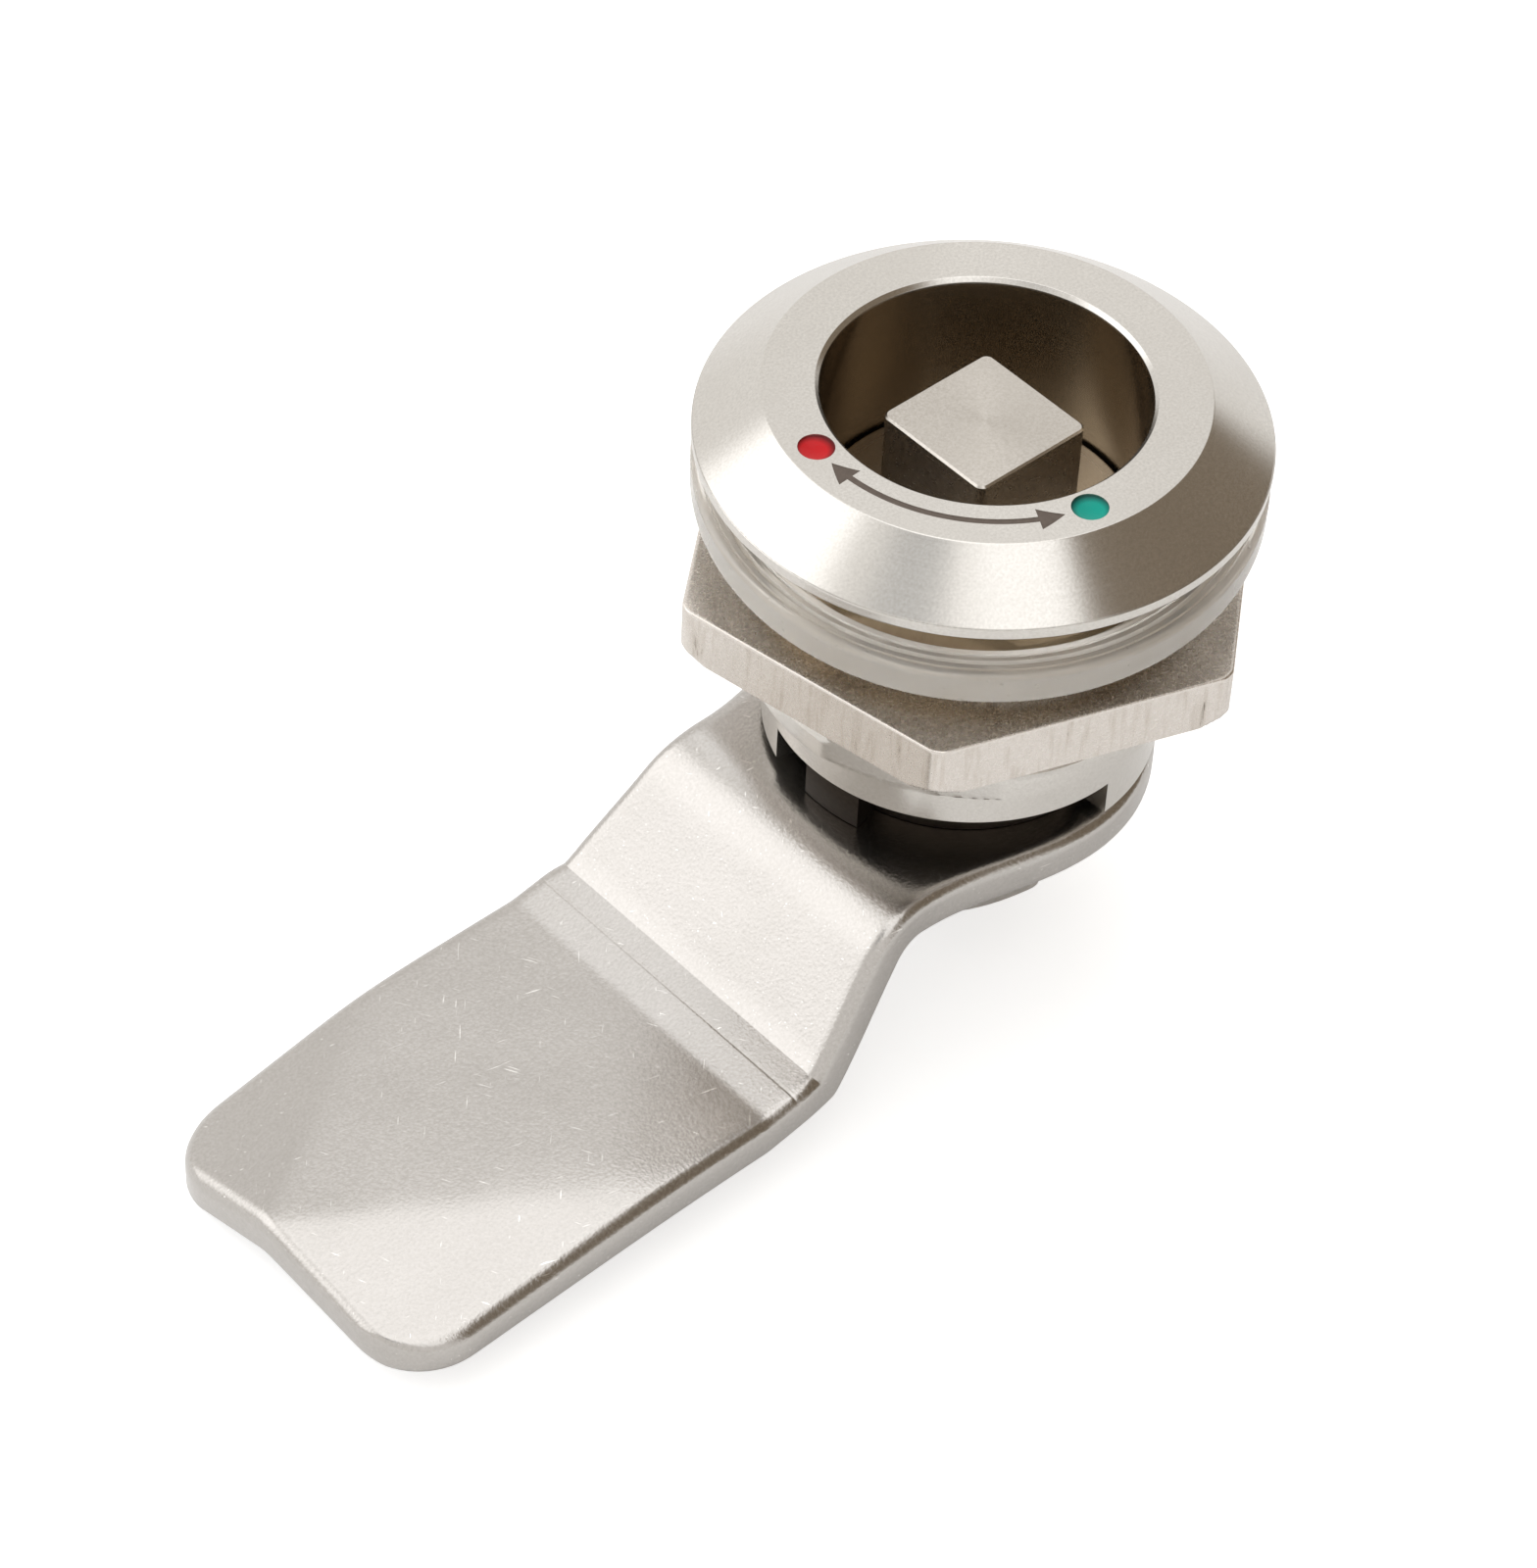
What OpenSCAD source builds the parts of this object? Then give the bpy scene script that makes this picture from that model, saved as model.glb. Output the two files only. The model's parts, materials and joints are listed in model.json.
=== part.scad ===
// Quarter-turn cabinet lock with a male square key, a panel nut, a soft gasket and a cranked cam.
// Origin: on the lock's axis, in the plane where the head seats on the door. +Z points to the key side.
// +X runs along the cam's blade.

/* [Head] */
// Height of the head above the door
head_h = 3.1; // [2.4:0.1:5]
// Height of the straight rim under the head's cone
rim_h = 0.65; // [0.3:0.05:1.2]
// Width of the flat ring round the key well
face_w = 2.8; // [2.4:0.1:5]
// Width of the cone outside the flat ring
cone_w = 3.2; // [2.4:0.1:6]
// Break on the rim's two edges
rim_break = 0.12; // [0.05:0.01:0.2]
// Depth of the key well, from the face to its floor
well_depth = 8.4; // [6:0.1:10]
// Width of the chamfer round the well's mouth
well_chamfer = 0.2; // [0.1:0.05:0.35]

/* [Marks] */
// Diameter of each coloured dot
dot_d = 1.8; // [1:0.1:2]
// Depth of the hole that a dot fills
dot_depth = 0.35; // [0.2:0.05:0.6]
// How far a dot's face lies below the head's face
dot_sink = 0.1; // [0.05:0.01:0.15]
// How far the dots and the arrow lie inside the middle of the flat ring
mark_inset = 0.1; // [0:0.01:0.2]
// Width of the arrow's line
arrow_w = 0.34; // [0.2:0.01:0.4]
// Depth of the arrow's groove
arrow_depth = 0.12; // [0.05:0.01:0.2]
// Length of an arrowhead
arrow_head_l = 1.3; // [0.8:0.1:1.8]
// Width of an arrowhead
arrow_head_w = 1.4; // [0.8:0.05:1.5]
// Angle between a dot and the arrowhead beside it
arrow_from_dot = 8; // [7:0.1:12]

/* [Barrel] */
// Diameter over the barrel's thread
barrel_d = 22; // [20:0.5:30]
// Thickness of the barrel's wall round the key well
barrel_wall = 3; // [2.6:0.1:3.4]
// Depth of each flat on the barrel
flat_depth = 1; // [0.6:0.1:1.4]
// Length of the threaded barrel below the head
thread_l = 14.5; // [13:0.1:20]
// Depth of the step from the thread to the plain end
end_step = 1; // [0.8:0.1:1.4]
// Length of the plain end, from the thread to the roof of the stop slot
end_l = 1.8; // [1.2:0.1:4]
// Thickness of the stop ring's wall
stop_wall = 1.6; // [1.2:0.1:2]
// Gap between the stop ring and the cam below it
cam_gap = 0.6; // [0.3:0.1:1]

/* [Turn] */
// Angle of the red mark from the blade as stored, where the turn ends one way
turn_min = -13; // [-30:0.5:-5]
// Angle of the green mark from the blade as stored, where the turn ends the other way
turn_max = 77.5; // [60:0.5:90]
// Angle of the middle of the stop slot
slot_mid = 37; // [30:0.5:40]
// Angle that the stop washer's tab spans
tab_angle = 21; // [14:0.5:26]
// Angle left free between the tab and the slot's end at each end of the turn
stop_slack = 0.4; // [0.2:0.1:1]

/* [Spindle] */
// Width across the flats of the key square and of the square that drives the cam
square_af = 7; // [6.4:0.1:7]
// Diameter of the round bar that the squares are cut from
square_bar_d = 9.5; // [9:0.1:9.6]
// Height of the key square above the well's floor
key_h = 6.37; // [4:0.01:7.5]
// Chamfer round the key square's top
key_chamfer = 0.1; // [0.05:0.01:0.3]
// Clearance between the spindle's collar and the well's wall, on the radius
collar_gap = 0.15; // [0.1:0.01:0.3]
// Thickness of the spindle's collar
collar_t = 1.5; // [1:0.1:2.5]
// Diameter of the spindle's shaft
shaft_d = 10; // [9.8:0.1:11]
// Clearance between shaft and housing, on the radius
shaft_play = 0.05; // [0.02:0.01:0.1]
// Lengthwise play of the spindle in the housing
end_play = 0.1; // [0.05:0.01:0.2]
// Thickness of the sealing ring's cord
ring_cord_d = 1.5; // [1.2:0.1:1.6]
// Distance from the collar to the middle of the sealing ring
ring_below = 3.6; // [3:0.1:4.2]
// Width of the sealing ring's groove
ring_groove_w = 1.9; // [1.8:0.1:2.2]

/* [Cam] */
// Thickness of the cam's plate
cam_t = 2.5; // [2:0.1:3]
// Radius of the cam's round end
cam_end_r = 10; // [9.4:0.1:10.5]
// Width of the cam's neck
neck_w = 16.8; // [15:0.1:18]
// Width of the blade
blade_w = 19.8; // [18:0.1:22]
// Distance from the axis to the blade's tip
reach = 43.8; // [40:0.1:60]
// Height of the crank, from the cam's top to the blade's top
crank = 6.9; // [5:0.1:10]
// Distance from the axis to the first bend
bend_x = 10; // [9.5:0.1:12]
// Slope of the crank
bend_angle = 48; // [35:1:60]
// Top radius of the bend that turns down
bend_down_r = 5; // [4:0.1:6]
// Top radius of the bend that turns level again
bend_level_r = 1.5; // [1:0.1:3]
// Radius of the tip's corners, seen from above
tip_corner_r = 4; // [2:0.1:5]
// Where the two creases of the tip meet, across the blade
crease_y = -1; // [-2:0.1:2]
// Length of the tip's left lead-in, along the blade's edge
left_lead_l = 13.5; // [10:0.1:15]
// Length of the tip's right lead-in, along the blade's edge
right_lead_l = 17.5; // [12:0.1:18]
// Fall of the left lead-in, for each millimetre across
left_fall = 0.3; // [0.1:0.01:0.35]
// Fall of the right lead-in, for each millimetre across
right_fall = 0.12; // [0.08:0.01:0.3]
// The same for its underside, which falls less, so that the plate thins towards the corner
right_under_fall = 0.07; // [0.05:0.01:0.1]
// Clearance of the square hole round the square, on each side
square_play = 0.1; // [0.05:0.01:0.15]

/* [Stop washer] */
// Thickness of the stop washer
stop_t = 2.5; // [2.3:0.1:3]
// Clearance between the stop washer and the stop ring, on the radius
stop_gap = 0.4; // [0.2:0.05:0.6]
// How far the tab's end lies inside the plain end's surface
tab_inset = 0.4; // [0.1:0.05:0.8]

/* [Screw] */
// Diameter of the cam screw's thread
screw_d = 6; // [5:0.5:6]
// Width across the flats of the screw's head
screw_af = 10; // [9:0.5:10.5]
// Height of the screw's head
screw_head_h = 4; // [3:0.1:5]
// How far inside the flats the chamfer on the screw's head begins
head_chamfer_in = 0.2; // [0.1:0.05:0.4]
// Length of the screw below its head
screw_l = 10; // [8:0.5:11]
// Clearance round the screw in the spindle and the washers, on the radius
screw_play = 0.1; // [0.05:0.01:0.2]
// Depth left free past the screw's end
screw_room = 0.6; // [0.3:0.1:1]
// Diameter of the plain washer
washer_d = 12; // [11.5:0.1:14]
// Thickness of the plain washer
washer_t = 1.2; // [0.8:0.1:1.6]
// Diameter of the split spring washer
spring_d = 10.8; // [10:0.1:11.4]
// Thickness of the split spring washer
spring_t = 1.4; // [1:0.1:1.8]
// Width of the spring washer's split
split_w = 0.9; // [0.5:0.1:1.5]

/* [Nut] */
// Thickness of the nut's wall at the middle of a flat
nut_wall = 2.5; // [2:0.1:5]
// Thickness of the panel nut
nut_t = 3.1; // [2.5:0.1:4]
// Distance from the head's seat to the nut's top
nut_below = 6.36; // [6:0.01:7.5]
// Angle of one corner of the nut
nut_turn = 40.2; // [0:0.1:59]
// How much is rounded off each corner of the nut
nut_corner_cut = 0.4; // [0.2:0.05:0.6]
// Height of the chamfer on the nut's lower corners
nut_chamfer_h = 0.7; // [0.4:0.05:1]
// Width of the chamfer on the nut's lower corners
nut_chamfer_w = 1.1; // [0.6:0.05:1.4]
// Clearance between the nut and the barrel, on the radius
nut_play = 0.1; // [0.02:0.01:0.1]

/* [Gasket] */
// Height of the gasket's outer wall
gasket_h = 1.9; // [1.5:0.1:2.2]
// Width of the gasket's outer wall
gasket_wall = 1.8; // [1.4:0.1:2.4]
// Width of the gasket's inner skirt
skirt_w = 0.7; // [0.4:0.1:1.5]
// Thickness of the gasket's inner skirt
skirt_t = 0.9; // [0.6:0.05:1.2]
// Clearance of the skirt round the barrel, on the radius
skirt_gap = 0.5; // [0.45:0.05:0.7]
// Rounding of the gasket's outer edges
gasket_round = 0.3; // [0.1:0.05:0.5]
// Distance from the wall's inner edge to the shallow groove in its top
gasket_groove_in = 0.85; // [0.5:0.05:1.2]
// Width of that groove
gasket_groove_w = 0.25; // [0.15:0.05:0.4]
// Depth of that groove
gasket_groove_depth = 0.3; // [0.1:0.05:0.5]
// Tilt of the gasket as it hangs on the barrel
gasket_tilt = 5.5; // [4:0.1:5.6]
// Direction of the gasket's lowest point
gasket_low_at = 44; // [0:1:90]
// How far the gasket hangs off centre, away from its lowest point
gasket_shift = 0.25; // [0:0.01:0.3]
// Gap between the head's seat and the gasket's highest point
gasket_gap = 0.1; // [0.05:0.01:0.2]

/* [Hidden] */
$fn = 96;
// Depth by which a piece's own solids run into each other, and by which a cut runs past a face
lap = 0.5;

// Diameters that follow from the barrel
well_d = barrel_d - 2 * barrel_wall;
face_d = well_d + 2 * face_w;
head_d = face_d + 2 * cone_w;
collar_d = well_d - 2 * collar_gap;
end_d = barrel_d - 2 * end_step;
stop_ring_d = end_d - 2 * stop_wall;
nut_af = barrel_d + 2 * nut_wall;
skirt_r = barrel_d / 2 + skirt_gap;
gasket_wall_r = skirt_r + skirt_w;
gasket_r = gasket_wall_r + gasket_wall;
mark_r = (well_d + face_w) / 2 - mark_inset;

// Heights, from the face down to the screw's head
well_floor_z = head_h - well_depth;
seat_z = well_floor_z - collar_t;
end_z = -thread_l - end_l;
stop_top_z = end_z - end_play;
cam_top_z = stop_top_z - stop_t;
stop_end_z = cam_top_z + cam_gap;
stop_h = end_z - stop_end_z;
cam_under_z = cam_top_z - cam_t;
drive_end_z = cam_under_z + square_play;
spring_z = cam_under_z - washer_t;
screw_seat_z = spring_z - spring_t;
screw_tip_z = screw_seat_z + screw_l;
nut_under_z = -nut_below - nut_t;

// Radii
shaft_bore_r = shaft_d / 2 + shaft_play;
screw_bore_r = screw_d / 2 + screw_play;
hex_k = 1 / cos(30);
nut_round_r = nut_af / 2 * hex_k - nut_corner_cut;
tab_r = end_d / 2 - tab_inset;
stop_disc_r = stop_ring_d / 2 - stop_gap;

// Turn and stop: the slot leaves the swing, the tab and the slack at both ends
turn_mid = (turn_min + turn_max) / 2;
slot_angle = turn_max - turn_min + tab_angle + 2 * stop_slack;
tab_mid = slot_mid - turn_mid;

// Arrow tips, beside the dots
arrow_start = turn_min + arrow_from_dot;
arrow_stop = turn_max - arrow_from_dot;
arrow_head_span = atan(arrow_head_l / mark_r);

// Sealing ring: its cord touches the groove's floor
ring_z = seat_z - ring_below;
ring_r = shaft_d / 2 - ring_cord_d / 2;

module slab_across(width, low, high, length) {
  translate([-width / 2, -length / 2, low]) cube([width, length, high - low]);
}

module tube(outer_r, inner_r, low, high) {
  difference() {
    translate([0, 0, low]) cylinder(r = outer_r, h = high - low);
    translate([0, 0, low - lap]) cylinder(r = inner_r, h = high - low + 2 * lap);
  }
}

module hex_bar(af, low, high) {
  translate([0, 0, low]) cylinder(d = af * hex_k, h = high - low, $fn = 6);
}

// Square with the corner arcs that the round bar leaves
module square_bar(low, high) {
  intersection() {
    slab_across(square_af, low, high, square_af);
    translate([0, 0, low]) cylinder(d = square_bar_d, h = high - low);
  }
}

module square_hole(low, high) {
  hole = square_af + 2 * square_play;
  slab_across(hole, low - lap, high + lap, hole);
}

module arrow_head(tip_angle, points_on, width, low, high) {
  base_angle = tip_angle - points_on * arrow_head_span;
  tip = mark_r * [cos(tip_angle), sin(tip_angle)];
  inner = (mark_r - width / 2) * [cos(base_angle), sin(base_angle)];
  outer = (mark_r + width / 2) * [cos(base_angle), sin(base_angle)];
  flat = points_on > 0 ? [tip, inner, outer] : [tip, outer, inner];
  translate([0, 0, low]) linear_extrude(height = high - low) polygon(flat);
}

// Double-headed curved arrow as a flat solid, line_w wide, with heads head_w wide
module arrow_solid(line_w, head_w, low, high) {
  union() {
    rotate([0, 0, arrow_start + arrow_head_span / 2])
      rotate_extrude(angle = arrow_stop - arrow_start - arrow_head_span)
        translate([mark_r - line_w / 2, low]) square([line_w, high - low]);
    arrow_head(arrow_stop, 1, head_w, low, high);
    arrow_head(arrow_start, -1, head_w, low, high);
  }
}

module dot_solid(angle, low, high) {
  rotate([0, 0, angle]) translate([mark_r, 0, low]) cylinder(d = dot_d, h = high - low, $fn = 48);
}

// Head as a turned blank: straight rim, cone and flat face
module head_blank() {
  rotate_extrude()
    polygon([
      [0, 0],
      [head_d / 2 - rim_break, 0],
      [head_d / 2, rim_break],
      [head_d / 2, rim_h - rim_break],
      [head_d / 2 - rim_break, rim_h],
      [face_d / 2, head_h],
      [0, head_h]
    ]);
}

// Barrel with its two flats square to the middle of the turn
module barrel_blank() {
  intersection() {
    translate([0, 0, -thread_l]) cylinder(d = barrel_d, h = thread_l + rim_h / 2);
    rotate([0, 0, turn_mid])
      slab_across(barrel_d - 2 * flat_depth, -thread_l - lap, rim_h, barrel_d + 2 * lap);
  }
}

// What is cut out under the plain end: the round recess, and the slot that the tab swings in
module stop_room() {
  rim = [
    for (side = [-1, 0, 1])
    let (a = slot_mid + side * slot_angle / 2)
    end_d * [cos(a), sin(a)]
  ];
  translate([0, 0, stop_end_z - lap])
    linear_extrude(height = stop_h + lap) {
      circle(d = stop_ring_d);
      polygon(concat([[0, 0]], rim));
    }
}

module well_mouth() {
  translate([0, 0, head_h - well_chamfer])
    cylinder(d1 = well_d, d2 = well_d + 2 * well_chamfer, h = well_chamfer);
}

module housing() {
  color("lightgray")
    difference() {
      union() {
        head_blank();
        barrel_blank();
        translate([0, 0, stop_end_z]) cylinder(d = end_d, h = stop_h + end_l + lap);
      }
      stop_room();
      translate([0, 0, seat_z]) cylinder(d = well_d, h = head_h - seat_z + lap);
      well_mouth();
      translate([0, 0, end_z - lap]) cylinder(r = shaft_bore_r, h = seat_z - end_z + 2 * lap);
      dot_solid(turn_min, head_h - dot_depth, head_h + lap);
      dot_solid(turn_max, head_h - dot_depth, head_h + lap);
      arrow_solid(arrow_w, arrow_head_w, head_h - arrow_depth, head_h + lap);
    }
}

module red_dot() {
  color("firebrick") dot_solid(turn_min, head_h - dot_depth, head_h - dot_sink);
}

module green_dot() {
  color("teal") dot_solid(turn_max, head_h - dot_depth, head_h - dot_sink);
}

module arrow_inlay() {
  color("dimgray") arrow_solid(arrow_w, arrow_head_w, head_h - arrow_depth, head_h);
}

// Soft ring: a tall outer wall with a shallow groove in its top, and a thin skirt towards the barrel
module gasket_section() {
  groove_r = gasket_wall_r + gasket_groove_in;
  polygon([
    [skirt_r, 0],
    [gasket_r - gasket_round, 0],
    [gasket_r, gasket_round],
    [gasket_r, gasket_h - gasket_round],
    [gasket_r - gasket_round, gasket_h],
    [groove_r + gasket_groove_w / 2, gasket_h],
    [groove_r, gasket_h - gasket_groove_depth],
    [groove_r - gasket_groove_w / 2, gasket_h],
    [gasket_wall_r, gasket_h],
    [gasket_wall_r, skirt_t],
    [skirt_r, skirt_t]
  ]);
}

// The gasket hangs aslant: its high side is just under the head, opposite its lowest point
module panel_gasket() {
  lift = gasket_r * sin(gasket_tilt);
  away = gasket_low_at + 180;
  color("gainsboro")
    translate([gasket_shift * cos(away), gasket_shift * sin(away), -gasket_gap - lift])
      rotate(a = gasket_tilt, v = [-sin(gasket_low_at), cos(gasket_low_at), 0])
        translate([0, 0, -gasket_h]) rotate_extrude() gasket_section();
}

// Hexagon with rounded corners, and a chamfer round its lower side
module hex_nut() {
  top_z = -nut_below;
  color("silver")
    difference() {
      intersection() {
        rotate([0, 0, nut_turn]) hex_bar(nut_af, nut_under_z, top_z);
        rotate_extrude()
          polygon([
            [0, nut_under_z],
            [nut_round_r - nut_chamfer_w, nut_under_z],
            [nut_round_r, nut_under_z + nut_chamfer_h],
            [nut_round_r, top_z],
            [0, top_z]
          ]);
      }
      translate([0, 0, nut_under_z - lap])
        cylinder(r = barrel_d / 2 + nut_play, h = nut_t + 2 * lap);
    }
}

// Four slanting cuts that break the edges of the key square's top
module key_edge_cuts(top) {
  side = key_chamfer * sqrt(2);
  for (turn = [0 : 90 : 270])
    rotate([0, 0, turn]) translate([square_af / 2, 0, top])
      rotate([0, 45, 0]) cube([side, 2 * square_af, side], center = true);
}

// One turned piece: key square, collar, shaft with a ring groove, and the square that drives the cam
module spindle() {
  groove_low = ring_z - ring_groove_w / 2;
  groove_r = ring_r - ring_cord_d / 2;
  color("silver")
    difference() {
      union() {
        square_bar(well_floor_z - lap, well_floor_z + key_h);
        translate([0, 0, seat_z]) cylinder(d = collar_d, h = collar_t);
        translate([0, 0, stop_top_z]) cylinder(d = shaft_d, h = seat_z - stop_top_z + lap);
        square_bar(drive_end_z, stop_top_z + lap);
      }
      key_edge_cuts(well_floor_z + key_h);
      tube(shaft_d / 2 + lap, groove_r, groove_low, groove_low + ring_groove_w);
      translate([0, 0, drive_end_z - lap])
        cylinder(r = screw_bore_r, h = screw_tip_z + screw_room - drive_end_z + lap);
    }
}

module spindle_o_ring() {
  color("dimgray")
    rotate_extrude() translate([ring_r, ring_z]) circle(d = ring_cord_d, $fn = 32);
}

// Washer on the square, with the tab that meets the two ends of the slot
module stop_washer() {
  color("silver")
    difference() {
      union() {
        translate([0, 0, cam_top_z]) cylinder(r = stop_disc_r, h = stop_t);
        rotate([0, 0, tab_mid - tab_angle / 2])
          rotate_extrude(angle = tab_angle)
            translate([stop_disc_r - lap, cam_top_z]) square([tab_r - stop_disc_r + lap, stop_t]);
      }
      square_hole(cam_top_z, stop_top_z);
    }
}

// Cam: a cranked plate cut to an outline, with a lead-in slope on each side of the tip's two creases
blade_top_z = cam_top_z - crank;
blade_half = blade_w / 2;
neck_half = neck_w / 2;
slope_l = (crank - (bend_down_r + bend_level_r) * (1 - cos(bend_angle))) / sin(bend_angle);
level_x = bend_x + (bend_down_r + bend_level_r) * sin(bend_angle) + slope_l * cos(bend_angle);
tip_x = reach - tip_corner_r;
left_turn = atan((blade_half + crease_y) / left_lead_l);
right_turn = -atan((blade_half - crease_y) / right_lead_l);
left_tilt = atan(left_fall / cos(left_turn));
right_tilt = -atan(right_fall / cos(right_turn));
right_under_tilt = -atan(right_under_fall / cos(right_turn));
outline_steps = 12;
round_step = 7.5;
bend_steps = 8;

// Soft step from 0 to 1
function ease(s) = (1 - cos(180 * s)) / 2;

// Half width of the outline between the round end and the neck, and between the neck and the blade
function half_width(x) =
  x < bend_x ? cam_end_r + (neck_half - cam_end_r) * ease(x / bend_x) :
  neck_half + (blade_half - neck_half) * ease((x - bend_x) / (level_x - bend_x));

// One side of the cam's plan, from the middle of the round end to the middle of the tip
outline_side = concat(
  [for (a = [round_step : round_step : 90 - round_step]) cam_end_r * [-cos(a), sin(a)]],
  [for (i = [0 : outline_steps]) let (x = level_x * i / outline_steps) [x, half_width(x)]],
  [
    for (a = [0 : round_step * 2 : 90])
    [tip_x + tip_corner_r * sin(a), blade_half - tip_corner_r + tip_corner_r * cos(a)]
  ]
);

module cam_outline() {
  other_side = [for (i = [len(outline_side) - 1 : -1 : 0]) [outline_side[i][0], -outline_side[i][1]]];
  polygon(concat([[-cam_end_r, 0]], outline_side, other_side));
}

// Line of the crank's side view at a depth below the plate's top, from the round end to the blade
function crank_line(depth) = concat(
  [[-cam_end_r, cam_top_z - depth]],
  [
    for (i = [0 : bend_steps])
    let (a = bend_angle * i / bend_steps, r = bend_down_r - depth)
    [bend_x + r * sin(a), cam_top_z - bend_down_r + r * cos(a)]
  ],
  [
    for (i = [bend_steps : -1 : 0])
    let (a = bend_angle * i / bend_steps, r = bend_level_r + depth)
    [level_x - r * sin(a), blade_top_z + bend_level_r - r * cos(a)]
  ],
  [[level_x + lap, blade_top_z - depth]]
);

module crank_profile() {
  top = crank_line(0);
  under = crank_line(cam_t);
  polygon(concat(top, [for (i = [len(under) - 1 : -1 : 0]) under[i]]));
}

// All that lies below a plane through the point where the creases meet
module below_plane(turn, tilt, z) {
  translate([reach, crease_y, z])
    rotate([0, 0, turn]) rotate([tilt, 0, 0])
      translate([-reach, -reach, -reach]) cube([2 * reach, 2 * reach, reach]);
}

module below_blade(z, right_slope) {
  intersection() {
    below_plane(0, 0, z);
    below_plane(left_turn, left_tilt, z);
    below_plane(right_turn, right_slope, z);
  }
}

module cam_plate() {
  deep = left_fall * blade_w;
  intersection() {
    translate([0, 0, blade_top_z - cam_t - deep])
      linear_extrude(height = crank + cam_t + deep + lap) cam_outline();
    union() {
      rotate([90, 0, 0]) linear_extrude(height = 2 * blade_w, center = true) crank_profile();
      difference() {
        below_blade(blade_top_z, right_tilt);
        below_blade(blade_top_z - cam_t, right_under_tilt);
        translate([level_x - 2 * reach, -reach, blade_top_z - 2 * reach])
          cube([2 * reach, 2 * reach, 3 * reach]);
      }
    }
  }
}

module cam() {
  color("silver")
    difference() {
      cam_plate();
      square_hole(cam_under_z, cam_top_z);
    }
}

module plain_washer() {
  color("silver") tube(washer_d / 2, screw_bore_r, spring_z, cam_under_z);
}

// Split ring, shown pressed flat
module spring_washer() {
  color("darkgray")
    difference() {
      tube(spring_d / 2, screw_bore_r, screw_seat_z, spring_z);
      translate([-spring_d / 2 - lap, -split_w / 2, screw_seat_z - lap])
        cube([spring_d / 2 + lap, split_w, spring_t + 2 * lap]);
    }
}

module cam_screw() {
  head_end_z = screw_seat_z - screw_head_h;
  land_r = screw_af / 2 - head_chamfer_in;
  far_r = screw_af / 2 * hex_k + lap;
  color("silver")
    union() {
      intersection() {
        rotate([0, 0, nut_turn]) hex_bar(screw_af, head_end_z, screw_seat_z);
        rotate_extrude()
          polygon([
            [0, head_end_z - lap],
            [land_r - lap / tan(30), head_end_z - lap],
            [far_r, head_end_z + (far_r - land_r) * tan(30)],
            [far_r, screw_seat_z + lap],
            [0, screw_seat_z + lap]
          ]);
      }
      translate([0, 0, screw_seat_z - lap]) cylinder(d = screw_d, h = screw_l + lap);
    }
}

housing();
red_dot();
green_dot();
arrow_inlay();
panel_gasket();
hex_nut();
spindle();
spindle_o_ring();
stop_washer();
cam();
plain_washer();
spring_washer();
cam_screw();
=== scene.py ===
# %% [markdown]
# # Dressing a quarter-turn cabinet lock
# The lock is a small machined product: a turned steel housing with a key square in its well, a
# panel nut, a soft gasket, and a cranked cam plate under it. The CAD model gives every size and
# joint. Here each piece gets its true surface: rounded edges, a cut thread, engraved marks and
# worn plating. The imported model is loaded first, because all that follows is fitted to it.

# %% Load the frame
import json
import math

import bmesh
import bpy
import numpy as np
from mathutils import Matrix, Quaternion, Vector


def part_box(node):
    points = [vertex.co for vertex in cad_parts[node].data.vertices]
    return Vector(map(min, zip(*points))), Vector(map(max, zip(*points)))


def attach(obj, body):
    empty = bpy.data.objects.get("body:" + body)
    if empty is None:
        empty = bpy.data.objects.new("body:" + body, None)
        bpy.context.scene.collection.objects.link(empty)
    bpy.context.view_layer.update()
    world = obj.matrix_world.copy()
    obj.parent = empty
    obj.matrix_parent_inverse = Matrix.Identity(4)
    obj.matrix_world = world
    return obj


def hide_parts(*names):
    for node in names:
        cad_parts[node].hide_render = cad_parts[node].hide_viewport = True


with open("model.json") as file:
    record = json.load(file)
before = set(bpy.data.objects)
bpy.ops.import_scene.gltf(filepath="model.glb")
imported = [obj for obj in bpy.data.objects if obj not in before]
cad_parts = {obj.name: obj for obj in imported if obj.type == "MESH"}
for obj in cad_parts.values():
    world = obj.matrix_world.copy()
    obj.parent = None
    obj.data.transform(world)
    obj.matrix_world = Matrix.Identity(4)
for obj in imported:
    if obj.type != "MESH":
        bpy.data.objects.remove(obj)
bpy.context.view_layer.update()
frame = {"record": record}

MM = 0.001
record = frame["record"]
BODY_OF = {node: body for body, nodes in record["behaviour"]["bodies"].items() for node in nodes}

# %% [markdown]
# ## Reading sizes
# A CAD node knows its own lowest and highest corner, so the sizes of the visual pieces are read
# from there, in millimetres. What a box can't tell, such as the cone or the well, is named here
# once with the value that the drawing of the lock has.

# %% Sizes of the lock, in millimetres


def box_mm(node):
    """Lowest and highest corner of a CAD node, in millimetres."""
    low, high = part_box(node)
    return np.array(low) / MM, np.array(high) / MM


housing_low, housing_high = box_mm("housing")
HEAD_R = housing_high[0]
FACE_Z = 3.1
FACE_R = HEAD_R - 3.2
RIM_H = 0.65
WELL_R = FACE_R - 2.8
COLLAR_TOP_Z = FACE_Z - 8.4
SEAT_Z = COLLAR_TOP_Z - 1.5
BARREL_R = 11.0
FLAT_R = 10.0
THREAD_END_Z = -14.5
BAND_R = 10.0
ROOF_Z = -16.3
STOP_END_Z = housing_low[2]
SHAFT_R = 5.0
TURN = (-13.0, 77.5)
TURN_MID = sum(TURN) / 2
SLOT = (37.0 - 56.15, 37.0 + 56.15)
MARK_R = 9.3
print("head radius %.2f mm, stop ring ends at %.2f mm" % (HEAD_R, STOP_END_Z))

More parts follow.
